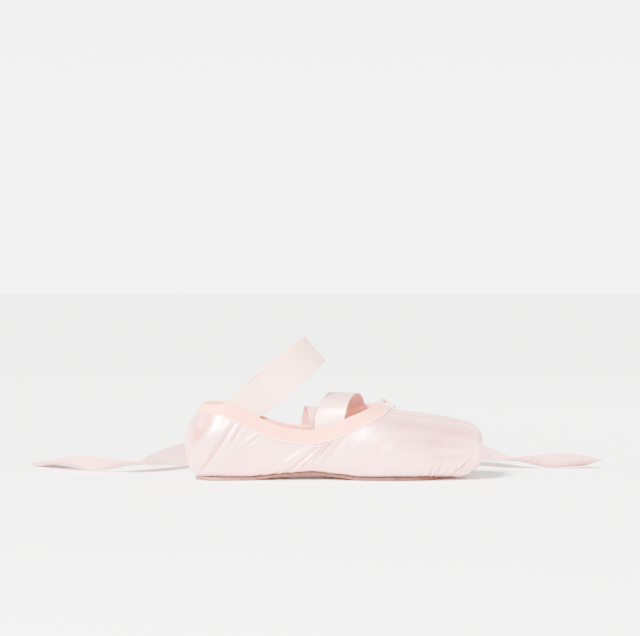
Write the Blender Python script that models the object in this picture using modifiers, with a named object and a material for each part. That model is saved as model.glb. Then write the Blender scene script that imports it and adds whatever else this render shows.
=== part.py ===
# A pointe shoe, empty and unbent, standing on its sole.
# x runs from heel to toe, y across the foot and z up from the floor, in metres.
# The shoe is straight: both halves are alike, so it is neither a left nor a right.

import math

import bmesh
import bpy
import numpy as np

# Driving dimensions
LENGTH = 0.230
BALL_WIDTH = 0.078
WAIST_WIDTH = 0.055
HEEL_WIDTH = 0.053
PLATFORM_WIDTH = 0.054
PLATFORM_TOP = 0.0405
PLATFORM_EDGE = 0.005
TOE_LIFT = 0.0087
THROAT_HEIGHT = 0.0575
HEEL_HEIGHT = 0.058
SIDE_HEIGHT = 0.038
HEEL_BULGE = 0.016
HEEL_ROUND = 0.032
HEEL_PLAN = 2.3
SECTION_TOP = 2.3
SECTION_BOTTOM = 4.2
VAMP_LENGTH = 0.079
ARCH_RISE = 0.004
BOX_WALL = 0.0028
QUARTER_WALL = 0.0012
TUCK_WALL = 0.0012
TUCK_LAP = 0.007
WING_STEP = 0.0008
WING_SLANT = math.radians(40)
WING_BLEND = 0.024
WING_EDGE = 0.0004
PLEATS = 6
PLEAT_DEPTH = 0.0008
SOLE_HEEL_MARGIN = 0.008
SOLE_TOE_MARGIN = 0.030
SOLE_WIDTH = 0.054
SOLE_WAIST = 0.027
SOLE_HEEL = 0.038
SOLE_THICKNESS = 0.0025
SOLE_CHAMFER = 0.0007
INSOLE_THICKNESS = 0.0018
BINDING_WIDTH = 0.0095
BINDING_INSIDE = 0.0070
BINDING_THICKNESS = 0.0012
STRAP_WIDTH = 0.025
STRAP_THICKNESS = 0.0012
STRAP_REACH = 0.082
STRAP_SPREAD = 0.058
STRAP_SLOPE = math.radians(40)
RIBBON_WIDTH = 0.022
RIBBON_THICKNESS = 0.0008
STRING_WIDTH = 0.0016
KNOT_SIZE = 0.0045
KNOT_SHAPE = (1.15, 1.0, 0.78)
GAP = 0.0003
TURN_WEIGHT = 0.011
PROBE = 0.0002

# Places worked out from them
COLLAR_LENGTH = LENGTH - VAMP_LENGTH
SOLE_BACK = SOLE_HEEL_MARGIN
SOLE_FRONT = LENGTH - SOLE_TOE_MARGIN
SOLE_LENGTH = SOLE_FRONT - SOLE_BACK
TOE_LENGTH = LENGTH - SOLE_FRONT
SEAT = SOLE_THICKNESS + GAP
CORE_HEIGHT = 0.45 * THROAT_HEIGHT
CORE_BACK = HEEL_ROUND
CORE_FRONT = LENGTH - 0.57 * VAMP_LENGTH
WING_BASE = 0.58 * COLLAR_LENGTH

# Tables along the shoe: a place in x, then the value there

WIDTHS = (
    (0.00 * LENGTH, 0.99 * HEEL_WIDTH),
    (0.13 * LENGTH, 1.00 * HEEL_WIDTH),
    (0.28 * LENGTH, 0.97 * HEEL_WIDTH),
    (0.42 * LENGTH, 1.00 * WAIST_WIDTH),
    (0.54 * LENGTH, 0.85 * BALL_WIDTH),
    (0.64 * LENGTH, 0.97 * BALL_WIDTH),
    (0.70 * LENGTH, 1.00 * BALL_WIDTH),
    (0.78 * LENGTH, 0.965 * BALL_WIDTH),
    (0.88 * LENGTH, 1.18 * PLATFORM_WIDTH),
    (0.95 * LENGTH, 1.06 * PLATFORM_WIDTH),
    (1.00 * LENGTH, 1.00 * PLATFORM_WIDTH),
)

CREST = (
    (0.00 * COLLAR_LENGTH, 1.72 * THROAT_HEIGHT),
    (0.35 * COLLAR_LENGTH, 1.52 * THROAT_HEIGHT),
    (0.70 * COLLAR_LENGTH, 1.33 * THROAT_HEIGHT),
    (0.86 * COLLAR_LENGTH, 1.17 * THROAT_HEIGHT),
    (0.95 * COLLAR_LENGTH, 1.06 * THROAT_HEIGHT),
    (COLLAR_LENGTH, THROAT_HEIGHT),
    (COLLAR_LENGTH + 0.14 * VAMP_LENGTH, 0.82 * THROAT_HEIGHT + 0.18 * PLATFORM_TOP),
    (COLLAR_LENGTH + 0.28 * VAMP_LENGTH, 0.72 * THROAT_HEIGHT + 0.28 * PLATFORM_TOP),
    (COLLAR_LENGTH + 0.53 * VAMP_LENGTH, 0.56 * THROAT_HEIGHT + 0.44 * PLATFORM_TOP),
    (COLLAR_LENGTH + 0.80 * VAMP_LENGTH, 0.33 * THROAT_HEIGHT + 0.67 * PLATFORM_TOP),
    (COLLAR_LENGTH + 0.92 * VAMP_LENGTH, 0.14 * THROAT_HEIGHT + 0.86 * PLATFORM_TOP),
    (LENGTH, PLATFORM_TOP),
)

TOPLINE = (
    (0.00 * COLLAR_LENGTH, 0.99 * HEEL_HEIGHT),
    (0.18 * COLLAR_LENGTH, 1.00 * HEEL_HEIGHT),
    (0.26 * COLLAR_LENGTH, 0.95 * HEEL_HEIGHT),
    (0.34 * COLLAR_LENGTH, 0.86 * HEEL_HEIGHT),
    (0.44 * COLLAR_LENGTH, 1.14 * SIDE_HEIGHT),
    (0.54 * COLLAR_LENGTH, 1.03 * SIDE_HEIGHT),
    (0.63 * COLLAR_LENGTH, 1.00 * SIDE_HEIGHT),
    (0.72 * COLLAR_LENGTH, 1.06 * SIDE_HEIGHT),
    (0.82 * COLLAR_LENGTH, 0.81 * THROAT_HEIGHT),
    (0.91 * COLLAR_LENGTH, 0.90 * THROAT_HEIGHT),
    (COLLAR_LENGTH, THROAT_HEIGHT),
)

WIDEST = (
    (0.00 * LENGTH, 0.62 * SIDE_HEIGHT),
    (0.42 * LENGTH, 0.52 * SIDE_HEIGHT),
    (0.70 * LENGTH, 0.50 * SIDE_HEIGHT),
    (0.90 * LENGTH, 0.55 * PLATFORM_TOP),
    (1.00 * LENGTH, 0.66 * PLATFORM_TOP),
)

ARCH = (
    (0.22 * LENGTH, 0.0),
    (0.32 * LENGTH, 0.62 * ARCH_RISE),
    (0.42 * LENGTH, ARCH_RISE),
    (0.50 * LENGTH, 0.62 * ARCH_RISE),
    (0.58 * LENGTH, 0.0),
)

TOE_CURVE = (
    (SOLE_FRONT + 0.24 * TOE_LENGTH, 0.0),
    (SOLE_FRONT + 0.40 * TOE_LENGTH, -0.28 * SOLE_THICKNESS),
    (SOLE_FRONT + 0.56 * TOE_LENGTH, 0.03 * TOE_LIFT),
    (SOLE_FRONT + 0.78 * TOE_LENGTH, 0.42 * TOE_LIFT),
    (LENGTH, TOE_LIFT),
)

# Back of the heel: a height, then how far in the profile lies
HEEL_BACK = (
    (0.00 * HEEL_HEIGHT, 0.62 * HEEL_BULGE),
    (0.14 * HEEL_HEIGHT, 0.28 * HEEL_BULGE),
    (0.32 * HEEL_HEIGHT, 0.05 * HEEL_BULGE),
    (0.48 * HEEL_HEIGHT, 0.00),
    (0.66 * HEEL_HEIGHT, 0.09 * HEEL_BULGE),
    (0.84 * HEEL_HEIGHT, 0.42 * HEEL_BULGE),
    (1.00 * HEEL_HEIGHT, 0.90 * HEEL_BULGE),
    (1.30 * HEEL_HEIGHT, 1.70 * HEEL_BULGE),
)

SOLE_WIDTHS = (
    (0.04 * LENGTH, 0.92 * SOLE_HEEL),
    (0.11 * LENGTH, 1.00 * SOLE_HEEL),
    (0.20 * LENGTH, 0.94 * SOLE_HEEL),
    (0.32 * LENGTH, 1.07 * SOLE_WAIST),
    (0.41 * LENGTH, 1.00 * SOLE_WAIST),
    (0.52 * LENGTH, 0.66 * SOLE_WIDTH),
    (0.62 * LENGTH, 0.92 * SOLE_WIDTH),
    (0.70 * LENGTH, 1.00 * SOLE_WIDTH),
    (0.79 * LENGTH, 0.94 * SOLE_WIDTH),
    (0.87 * LENGTH, 0.80 * SOLE_WIDTH),
)

# Routes of the two ribbons: place and height of the lower edge in shares of the length, the ball's width
# and the throat's height, then the heading of the width and how far it stands on edge, in degrees
NEAR_RIBBON = (
    (0.4783, -0.2936, 0.3478, 0, 0),
    (0.4796, -0.2974, 0.5043, -1, 0),
    (0.4817, -0.3000, 0.6609, -3, 0),
    (0.4861, -0.2897, 0.8261, -8, 0),
    (0.4978, -0.2372, 0.9913, -15, 0),
    (0.5152, -0.1090, 1.1061, -19, 0),
    (0.5370, 0.0769, 1.1478, -20, 0),
    (0.5565, 0.2628, 1.1043, -19, 0),
    (0.5717, 0.4192, 0.9826, -16, 0),
    (0.5804, 0.5128, 0.7913, -11, 0),
    (0.5848, 0.5513, 0.5391, -8, 0),
    (0.5870, 0.5769, 0.2783, -6, 0),
    (0.5891, 0.6410, 0.0957, -6, 0),
    (0.5930, 0.7821, 0.0174, -8, 0),
    (0.6065, 1.0128, 0.0209, -16, -8),
    (0.6391, 1.2372, 0.0609, -33, -24),
    (0.6957, 1.4231, 0.0609, -52, -44),
    (0.7783, 1.5449, 0.0139, -73, -60),
    (0.8739, 1.5833, 0.0139, -92, -66),
    (0.9696, 1.5256, 0.0139, -112, -58),
    (1.0522, 1.3718, 0.0522, -130, -34),
    (1.1174, 1.1667, 0.0870, -135, -8),
    (1.1870, 0.9744, 0.0522, -124, 18),
    (1.2739, 0.8590, 0.0139, -100, 34),
    (1.3652, 0.8718, 0.0139, -75, 30),
    (1.4478, 0.9936, 0.0139, -63, 16),
)

FAR_RIBBON = (
    (0.4783, 0.2885, 0.3478, 0, 0),
    (0.4783, 0.2910, 0.5043, 0, 0),
    (0.4761, 0.2910, 0.6609, 0, 0),
    (0.4717, 0.3103, 0.8209, 2, 0),
    (0.4652, 0.3782, 0.9130, 5, 0),
    (0.4565, 0.4423, 0.8957, 8, 0),
    (0.4478, 0.4808, 0.7478, 9, 0),
    (0.4435, 0.5000, 0.5217, 9, 0),
    (0.4391, 0.5192, 0.2783, 9, 0),
    (0.4304, 0.5833, 0.0870, 11, 0),
    (0.4152, 0.7308, 0.0174, 15, 0),
    (0.3848, 0.9936, 0.0209, 27, 8),
    (0.3217, 1.2436, 0.0696, 48, 26),
    (0.2283, 1.4103, 0.0609, 71, 46),
    (0.1174, 1.4487, 0.0139, 97, 60),
    (0.0130, 1.3269, 0.0139, 125, 56),
    (-0.0609, 1.0897, 0.0522, 138, 30),
    (-0.1304, 0.8590, 0.0870, 130, 4),
    (-0.2130, 0.7051, 0.0522, 103, -20),
    (-0.3109, 0.7179, 0.0139, 72, -36),
    (-0.3870, 0.8974, 0.0139, 42, -30),
    (-0.4304, 1.1410, 0.0174, 26, -16),
    (-0.4674, 1.3846, 0.0348, 32, 0),
    (-0.5261, 1.6026, 0.0174, 42, 6),
)

# Routes of the drawstring's ends from the knot: ahead, across and over the satin, in knot sizes
STRING_ENDS = {
    "left": ((0.00, 0.00, 1.00), (0.50, 0.45, 1.02), (1.05, 0.80, 0.88), (1.75, 1.05, 0.62), (2.40, 1.50, 0.27)),
    "right": ((0.00, 0.00, 1.00), (0.40, -0.50, 1.06), (0.80, -1.05, 1.00), (1.30, -1.65, 0.80), (1.80, -2.30, 0.60)),
}

COLOURS = {
    "satin": (0.93, 0.84, 0.82, 1.0),
    "leather": (0.70, 0.52, 0.44, 1.0),
    "sock": (0.86, 0.80, 0.74, 1.0),
    "tape": (0.95, 0.76, 0.69, 1.0),
    "elastic": (0.88, 0.80, 0.74, 1.0),
    "cord": (0.80, 0.66, 0.52, 1.0),
}


def clear_scene():
    for item in list(bpy.data.objects):
        bpy.data.objects.remove(item, do_unlink=True)


def material(name):
    """A plain Principled material of the piece's own colour."""
    made = bpy.data.materials.new(name)
    made.use_nodes = True
    shader = made.node_tree.nodes["Principled BSDF"]
    shader.inputs["Base Color"].default_value = COLOURS[name]
    shader.inputs["Roughness"].default_value = 0.35 if name == "satin" else 0.7
    return made


def unit(vectors):
    return vectors / np.maximum(np.linalg.norm(vectors, axis=-1, keepdims=True), 1e-12)


def fade(value, start, end):
    """0 before start, 1 after end, and a smooth step between."""
    share = np.clip((value - start) / (end - start), 0, 1)
    return share * share * (3 - 2 * share)


def smooth(rows, at):
    """Value of a table at each place: a cubic through its rows that never overshoots them."""
    knots, values = np.array(rows, float).T
    steps = np.diff(knots)
    rises = np.diff(values) / steps
    turns = rises[:-1] * rises[1:]
    slopes = np.empty(len(knots))
    slopes[1:-1] = np.where(turns > 0, 2 * turns / np.where(turns > 0, rises[:-1] + rises[1:], 1), 0)
    slopes[0], slopes[-1] = rises[0], rises[-1]
    at = np.clip(at, knots[0], knots[-1])
    k = np.clip(np.searchsorted(knots, at, side="right") - 1, 0, len(knots) - 2)
    t = (at - knots[k]) / steps[k]
    rest = 1 - t
    ends = values[k] * rest * rest * (1 + 2 * t) + values[k + 1] * t * t * (3 - 2 * t)
    return ends + steps[k] * t * rest * (slopes[k] * rest - slopes[k + 1] * t)


def arch(x):
    """How far the sole's underside lies above the floor."""
    return smooth(ARCH, x)


def low(x):
    """Height of the upper's underside."""
    return SEAT + arch(x) + smooth(TOE_CURVE, x)


def superellipse(share, power):
    """Half width left at a share of the way out, on a curve that ends square across."""
    return (1 - np.clip(share, 0, 1) ** power) ** (1 / power)


def half_width(x, z):
    """Half the upper's width at a place along the shoe and a height. It is 0 outside the last."""
    edge = np.clip((x - LENGTH + PLATFORM_EDGE) / PLATFORM_EDGE, 0, 1)
    inset = PLATFORM_EDGE * (1 - np.sqrt(1 - edge * edge))
    side = smooth(WIDTHS, x) / 2 - inset
    bottom = low(x) + inset
    top = smooth(CREST, x) - inset
    middle = smooth(WIDEST, x)
    above = superellipse((z - middle) / (top - middle), SECTION_TOP)
    below = superellipse((middle - z) / (middle - bottom), SECTION_BOTTOM)
    behind = superellipse(1 - (x - smooth(HEEL_BACK, z)) / HEEL_ROUND, HEEL_PLAN)
    return np.where(x < LENGTH, side * above * below * behind, 0)


def bisect(test, most, count=32):
    """The largest value that passes the test, for tests that pass up to one value and fail past it."""
    lower = np.zeros(np.shape(most))
    upper = np.array(most, float)
    for _ in range(count):
        middle = (lower + upper) / 2
        passed = test(middle)
        lower = np.where(passed, middle, lower)
        upper = np.where(passed, upper, middle)
    return (lower + upper) / 2


def onto_last(points):
    """The points moved onto the last, straight out from the core line that runs inside it."""
    core = np.zeros(points.shape)
    core[..., 0] = np.clip(points[..., 0], CORE_BACK, CORE_FRONT)
    core[..., 2] = CORE_HEIGHT
    way = unit(points - core)

    def within(reach):
        at = core + reach[..., None] * way
        return np.abs(at[..., 1]) < half_width(at[..., 0], at[..., 2])

    reach = bisect(within, np.full(points.shape[:-1], 0.9 * LENGTH))
    return core + reach[..., None] * way


def outward(points):
    """Unit normals of the last at points on it."""
    core = np.zeros(points.shape)
    core[..., 0] = np.clip(points[..., 0], CORE_BACK, CORE_FRONT)
    core[..., 2] = CORE_HEIGHT
    slope = np.zeros(points.shape)
    for axis in range(3):
        for side in (1, -1):
            moved = points.copy()
            moved[..., axis] += side * PROBE
            reach = np.linalg.norm(moved - core, axis=-1)
            full = np.linalg.norm(onto_last(moved) - core, axis=-1)
            slope[..., axis] += side * reach / full
    return unit(slope)


def sole_half(x, inset):
    """Half the outsole's width, or half of an outline that lies inset from its edge."""
    back = superellipse(1 - (x - SOLE_BACK - inset) / (0.5 * SOLE_HEEL), 2.2)
    front = superellipse(1 - (SOLE_FRONT - inset - x) / (0.55 * SOLE_WIDTH), 2.2)
    return (smooth(SOLE_WIDTHS, x) / 2 - inset) * back * front


def columns(slab, heel_turns, toe_turns):
    """Where each column of the half shoe stands on the core line, and its heading: round the heel,
    along the side, then round the toe."""
    heel = np.linspace(math.pi, math.pi / 2, heel_turns, endpoint=False)
    toe = np.linspace(math.pi / 2, 0, toe_turns + 1)
    place = np.concatenate([np.full(len(heel), CORE_BACK), slab, np.full(len(toe), CORE_FRONT)])
    heading = np.concatenate([heel, np.full(len(slab), math.pi / 2), toe])
    return place, heading


def side_columns():
    """The columns along the side, close together at the wing edge and behind the throat."""
    quarter = np.linspace(CORE_BACK, WING_BASE - WING_EDGE, 13)
    wing_end = WING_BASE + 0.62 * (COLLAR_LENGTH - WING_BASE)
    wing = np.linspace(WING_BASE + WING_EDGE, wing_end, 5)
    nearing = 1 - np.linspace(1, 0, 8)[1:] ** 2
    throat = wing_end + (COLLAR_LENGTH - wing_end) * nearing
    box = np.linspace(COLLAR_LENGTH, CORE_FRONT, 6)[1:-1]
    return np.concatenate([quarter, wing, throat, box])


def lean(place, z):
    """How far forward a column stands at a height, so that one column follows the wing's edge."""
    before = fade(place, CORE_BACK, WING_BASE)
    after = np.clip((COLLAR_LENGTH - place) / (COLLAR_LENGTH - WING_BASE), 0, 1)
    return np.minimum(before, after) * np.maximum(z - SEAT, 0) * math.tan(WING_SLANT)


def past_wing(x, z):
    """How far ahead of the wing's edge a point lies."""
    return x - WING_BASE - np.maximum(z - SEAT, 0) * math.tan(WING_SLANT)


def strike(place, heading, tilt):
    """The points on the last that are seen from the core line in these directions, in columns that lean."""
    way = np.stack([np.cos(heading) * np.cos(tilt), -np.sin(heading) * np.cos(tilt), np.sin(tilt)], -1)
    stand = np.broadcast_to(place, tilt.shape)
    for _ in range(6):
        core = np.stack([stand, np.zeros(tilt.shape), np.full(tilt.shape, CORE_HEIGHT)], -1)
        hit = onto_last(core + 0.001 * way)
        stand = place + lean(place, hit[..., 2])
    return hit


def sole_reach(place, heading, inset):
    """How far the outsole's outline lies from the core line in plan, less an inset."""
    def within(reach):
        x = place + reach * np.cos(heading)
        return reach * np.sin(heading) < sole_half(x, inset) - 1e-9

    return bisect(within, np.full(place.shape, 0.5 * LENGTH))


def lower_tilt(place, heading):
    """Direction of the tucked-in edge, which lies inside the outsole's outline."""
    inside = sole_reach(place, heading, TUCK_LAP)
    x = place + inside * np.cos(heading)
    return -np.arctan2(CORE_HEIGHT - low(x), inside)


def upper_tilt(place, heading):
    """Direction of the collar's edge, and straight up where the vamp closes over the foot."""
    def within(tilt):
        at = strike(place, heading, tilt)
        return at[..., 2] < smooth(TOPLINE, at[..., 0])

    tilt = bisect(within, np.full(place.shape, math.pi / 2), 26)
    return np.where(place < COLLAR_LENGTH - 1e-6, tilt, math.pi / 2)


def even_rows(path, count):
    """Shares along each column's path that space its rows evenly, closer where it turns."""
    steps = np.diff(path, axis=1)
    lengths = np.linalg.norm(steps, axis=-1)
    ways = unit(steps)
    turns = np.arccos(np.clip((ways[:, 1:] * ways[:, :-1]).sum(-1), -1, 1))
    lengths[:, 1:] += TURN_WEIGHT * turns
    measure = np.concatenate([np.zeros((len(path), 1)), np.cumsum(lengths, axis=1)], axis=1)
    shares = np.linspace(0, 1, path.shape[1])
    wanted = np.linspace(0, 1, count)
    return np.array([np.interp(wanted * row[-1], row, shares) for row in measure])


def half_sheet(place, heading, count):
    """Points on the last for half the upper, a row for each column, from the tucked edge up to
    the collar or the crest."""
    place, heading = place[:, None], heading[:, None]
    start = lower_tilt(place, heading)
    end = upper_tilt(place, heading)

    def sheet(share):
        tilt = start + (end - start) * share
        return strike(place, np.broadcast_to(heading, tilt.shape), tilt)

    fine = np.broadcast_to(np.linspace(0, 1, 60), (len(place), 60))
    return sheet(even_rows(sheet(fine), count))


def wall_at(points):
    """Thickness of the upper: thin quarters, a stiff box, and a thin edge tucked in below."""
    stiff = fade(past_wing(points[..., 0], points[..., 2]), 0, WING_BLEND)
    wall = QUARTER_WALL + (BOX_WALL - QUARTER_WALL) * stiff
    rise = points[..., 2] - low(points[..., 0])
    return TUCK_WALL + (wall - TUCK_WALL) * fade(rise, TUCK_WALL, 6 * TUCK_WALL)


def raised_at(points):
    """How far the outside stands out: the wing's step, and the pleats gathered before the sole."""
    x, y, z = np.moveaxis(points, -1, 0)
    wing = fade(past_wing(x, z), -0.75 * WING_EDGE, 0.75 * WING_EDGE)
    wing = wing * (1 - fade(x, COLLAR_LENGTH - 0.6 * WING_BLEND, COLLAR_LENGTH + 0.6 * WING_BLEND))
    wing = wing * fade(z - low(x), 0.5 * TUCK_LAP, 1.2 * TUCK_LAP)
    heading = np.arctan2(np.abs(y), x - CORE_FRONT)
    pleat = (1 + np.cos(4 * PLEATS * heading)) / 2
    pleat = pleat * (1 - fade(heading, 0.42 * math.pi, 0.5 * math.pi))
    place = np.full(x.shape, CORE_FRONT)
    beyond = np.hypot(x - place, y) - sole_reach(place, heading, 0.0)
    pleat = pleat * fade(beyond, 0.5 * TUCK_LAP, TUCK_LAP)
    pleat = pleat * (1 - fade(z, 0.15 * PLATFORM_TOP, 0.50 * PLATFORM_TOP))
    return WING_STEP * wing + PLEAT_DEPTH * pleat


def grid_faces(rows, count, closed_rows=False, closed_count=False):
    """Quads between neighbouring points of a grid."""
    index = np.arange(rows * count).reshape(rows, count)
    a, b = index, np.roll(index, -1, axis=0)
    c, d = np.roll(b, -1, axis=1), np.roll(a, -1, axis=1)
    quads = np.stack([a, b, c, d], -1)
    quads = quads if closed_rows else quads[:-1]
    return quads if closed_count else quads[:, :-1]


def mesh_object(name, points, faces, colour, collection):
    """An object from points and faces, its coincident points made one and its faces turned outward."""
    mesh = bpy.data.meshes.new(name)
    mesh.from_pydata(points.reshape(-1, 3).tolist(), [], faces)
    work = bmesh.new()
    work.from_mesh(mesh)
    bmesh.ops.remove_doubles(work, verts=work.verts, dist=1e-6)
    bmesh.ops.recalc_face_normals(work, faces=work.faces)
    work.to_mesh(mesh)
    work.free()
    mesh.materials.append(bpy.data.materials[colour])
    mesh.shade_smooth()
    made = bpy.data.objects.new(name, mesh)
    made.location.x = -LENGTH / 2
    collection.objects.link(made)
    return made


def mirrored(made):
    """Completes a half that is open at the middle plane."""
    mirror = made.modifiers.new("Mirror", "MIRROR")
    mirror.use_axis = (False, True, False)
    mirror.merge_threshold = 0.0001
    return made


def make_upper(collection):
    """Outside and inside sheets of the shoe, joined round the tucked edge and round the collar."""
    place, heading = columns(side_columns(), heel_turns=8, toe_turns=4 * PLEATS)
    outside = half_sheet(place, heading, 14)
    normal = outward(outside)
    inside = outside - wall_at(outside)[..., None] * normal
    raised = outside + raised_at(outside)[..., None] * normal
    ring = np.concatenate([raised, inside[:, ::-1]], axis=1)
    quads = grid_faces(len(place), ring.shape[1], closed_count=True)
    open_collar = place[:-1] < COLLAR_LENGTH - 1e-6
    faces = quads.reshape(len(place) - 1, -1, 4)
    over_crest = np.arange(faces.shape[1]) == outside.shape[1] - 1
    kept = open_collar[:, None] | ~over_crest[None, :]
    on_middle = (np.abs(ring[..., 1]) < 1e-6)[..., None]
    ring = np.where(on_middle, ring * (1, 0, 1), ring)
    return mirrored(mesh_object("upper", ring, faces[kept].tolist(), "satin", collection))


def collar_edge(count):
    """Points round half the collar, evenly spaced, from the back of the heel to the throat."""
    along = np.concatenate([
        np.linspace(CORE_BACK, 0.9 * COLLAR_LENGTH, 60, endpoint=False),
        COLLAR_LENGTH - 0.1 * COLLAR_LENGTH * np.linspace(1, 0, 60) ** 2,
    ])
    turned = np.linspace(math.pi, math.pi / 2, 60, endpoint=False)
    place = np.concatenate([np.full(60, CORE_BACK), along])
    heading = np.concatenate([turned, np.full(120, math.pi / 2)])
    edge = strike(place, heading, upper_tilt(place, heading))
    edge[[0, -1], 1] = 0
    measure = np.concatenate([[0], np.cumsum(np.linalg.norm(np.diff(edge, axis=0), axis=1))])
    wanted = np.linspace(0, measure[-1], count)
    return np.stack([np.interp(wanted, measure, edge[:, k]) for k in range(3)], axis=-1)


def collar_frame(edge):
    """At each point of the collar's edge, the way down the upper's outside."""
    tangent = np.gradient(edge, axis=0)
    tangent[[0, -1]] = (0, -1, 0), (0, 1, 0)
    return unit(np.cross(unit(tangent), outward(edge)))


def make_binding(collection):
    """Folded tape round the collar: an outer leg, a round top over the edge, and an inner leg."""
    edge = onto_last(collar_edge(42))
    down = collar_frame(edge)
    near, far = GAP + WING_STEP, GAP + WING_STEP + BINDING_THICKNESS
    outer = np.array([0.0, 0.5, 1.0])
    inner = np.array([1.0, 0.0])
    ring = [(reach * BINDING_WIDTH, far, False) for reach in outer[::-1]]
    ring += [(-0.8 * far, 0.62 * far, False), (-far, 0.0, False)]
    ring += [(-far, 0.0, True), (-0.8 * far, 0.62 * (2 * GAP + BINDING_THICKNESS), True)]
    ring += [(reach * BINDING_INSIDE, 2 * GAP + BINDING_THICKNESS, True) for reach in inner[::-1]]
    ring += [(reach * BINDING_INSIDE, 2 * GAP, True) for reach in inner]
    ring += [(-GAP, 2 * GAP, True), (-GAP, near, False)]
    ring += [(reach * BINDING_WIDTH, near, False) for reach in outer]
    points = np.empty((len(edge), len(ring), 3))
    for k, (reach, away, within) in enumerate(ring):
        foot = onto_last(edge + max(reach, 0) * down)
        rise = min(reach, 0) * down
        out = -(wall_at(foot) + away) if within else np.full(len(edge), away)
        points[:, k] = foot + rise + out[:, None] * outward(foot)
    points[[0, -1], :, 1] = 0
    faces = grid_faces(len(edge), len(ring), closed_count=True).reshape(-1, 4).tolist()
    return mirrored(mesh_object("binding", points, faces, "tape", collection))


def plate(name, x, half, bottom, thickness, chamfer, colour, collection):
    """A thin plate that follows its underside along the shoe, narrowed to a point at both ends."""
    cut = np.minimum(chamfer, half)
    top = bottom + thickness
    rise = np.where(half > 0, chamfer, 0)
    across = np.stack([-half, -half + cut, half - cut, half, half, half - cut, -half + cut, -half], -1)
    up = np.stack([bottom + rise, bottom, bottom, bottom + rise, top - rise, top, top, top - rise], -1)
    points = np.stack([np.broadcast_to(x[:, None], across.shape), across, up], -1)
    quads = grid_faces(len(x), 8, closed_count=True).reshape(-1, 4).tolist()
    return mesh_object(name, points, quads, colour, collection)


def make_outsole(collection):
    turn = np.linspace(0, math.pi, 45)
    x = SOLE_BACK + SOLE_LENGTH * (1 - np.cos(turn)) / 2
    half = sole_half(x, 0.0)
    half[[0, -1]] = 0
    return plate("outsole", x, half, arch(x), SOLE_THICKNESS, SOLE_CHAMFER, "leather", collection)


def make_insole(collection):
    """Board on the tucked-in edge, its outline a clearance inside the wall."""
    place, heading = columns(np.linspace(CORE_BACK, CORE_FRONT, 22)[:-1], heel_turns=8, toe_turns=10)
    outside = half_sheet(place, heading, 40)
    inside = outside - wall_at(outside)[..., None] * outward(outside)
    rest = TUCK_WALL + 3 * GAP
    height = inside[..., 2] - low(inside[..., 0])
    reach = np.hypot(inside[..., 0] - place[:, None], inside[..., 1]) - 10 * GAP
    reach = np.array([np.interp(rest, rise, out) for rise, out in zip(height, reach)])
    x = place + reach * np.cos(heading)
    half = reach * np.sin(heading)
    half[[0, -1]] = 0
    return plate("insole", x, half, low(x) + rest, INSOLE_THICKNESS, 0.2 * INSOLE_THICKNESS, "sock", collection)


def band(name, centres, across, width, thickness, colour, collection):
    """A flat strip of even width carried along its centre line, closed at both ends. Each step between
    two of its cross sections is split along the same diagonal on both faces."""
    tangent = unit(np.gradient(centres, axis=0))
    across = unit(across - (across * tangent).sum(-1, keepdims=True) * tangent)
    face = np.cross(tangent, across)
    corners = ((1, 1), (-1, 1), (-1, -1), (1, -1))
    points = np.stack([
        centres + side * width / 2 * across + depth * thickness / 2 * face for side, depth in corners
    ], axis=1)
    step = np.array([
        (0, 1, 5), (0, 5, 4), (1, 2, 6), (1, 6, 5), (3, 6, 2), (3, 7, 6), (0, 4, 7), (0, 7, 3),
    ])
    last = 4 * (len(centres) - 1)
    faces = (np.arange(0, last, 4)[:, None, None] + step).reshape(-1, 3).tolist()
    faces += [[0, 1, 2, 3], [last, last + 1, last + 2, last + 3]]
    return mesh_object(name, points, faces, colour, collection)


def make_strap(collection):
    """Elastic loop, level across, leaning forward and up as it does round an ankle. Its ends lie
    inside the heel's collar until its lower edge is clear of the topline."""
    x = 0.25 * COLLAR_LENGTH
    start = np.array([x, 0, smooth(TOPLINE, x) - 0.12 * HEEL_HEIGHT])
    slope = np.array([math.cos(STRAP_SLOPE), 0, math.sin(STRAP_SLOPE)])
    stand = np.array([-math.sin(STRAP_SLOPE), 0, math.cos(STRAP_SLOPE)])
    straight = np.linspace(-0.3 * STRAP_WIDTH, 0.48 * STRAP_REACH, 9)
    clear = 0.6 * STRAP_WIDTH
    held = start + straight[straight < clear, None, None] * slope
    held = held + np.linspace(-0.5, 0.5, 5)[:, None] * STRAP_WIDTH * stand
    held = held[held[..., 2] < smooth(TOPLINE, held[..., 0]) + BINDING_THICKNESS + 2 * GAP]
    inside = QUARTER_WALL + 3 * GAP + BINDING_THICKNESS + STRAP_THICKNESS / 2
    seat = half_width(held[:, 0], held[:, 2]).min() - 1.25 * inside
    turn = np.linspace(0, math.pi / 2, 14)[1:]
    reach = np.concatenate([straight, straight[-1] + (STRAP_REACH - straight[-1]) * np.sin(turn)])
    spread = seat + (STRAP_SPREAD / 2 - seat) * fade(straight, clear, straight[-1])
    half = np.concatenate([spread, STRAP_SPREAD / 2 * np.cos(turn)])
    half[-1] = 0
    near = start + reach[:, None] * slope + half[:, None] * (0, -1, 0)
    far = near[-2::-1] * (1, -1, 1)
    centres = np.concatenate([near, far])
    across = np.broadcast_to(stand, centres.shape)
    return band("ankle_strap", centres, across, STRAP_WIDTH, STRAP_THICKNESS, "elastic", collection)


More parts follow.
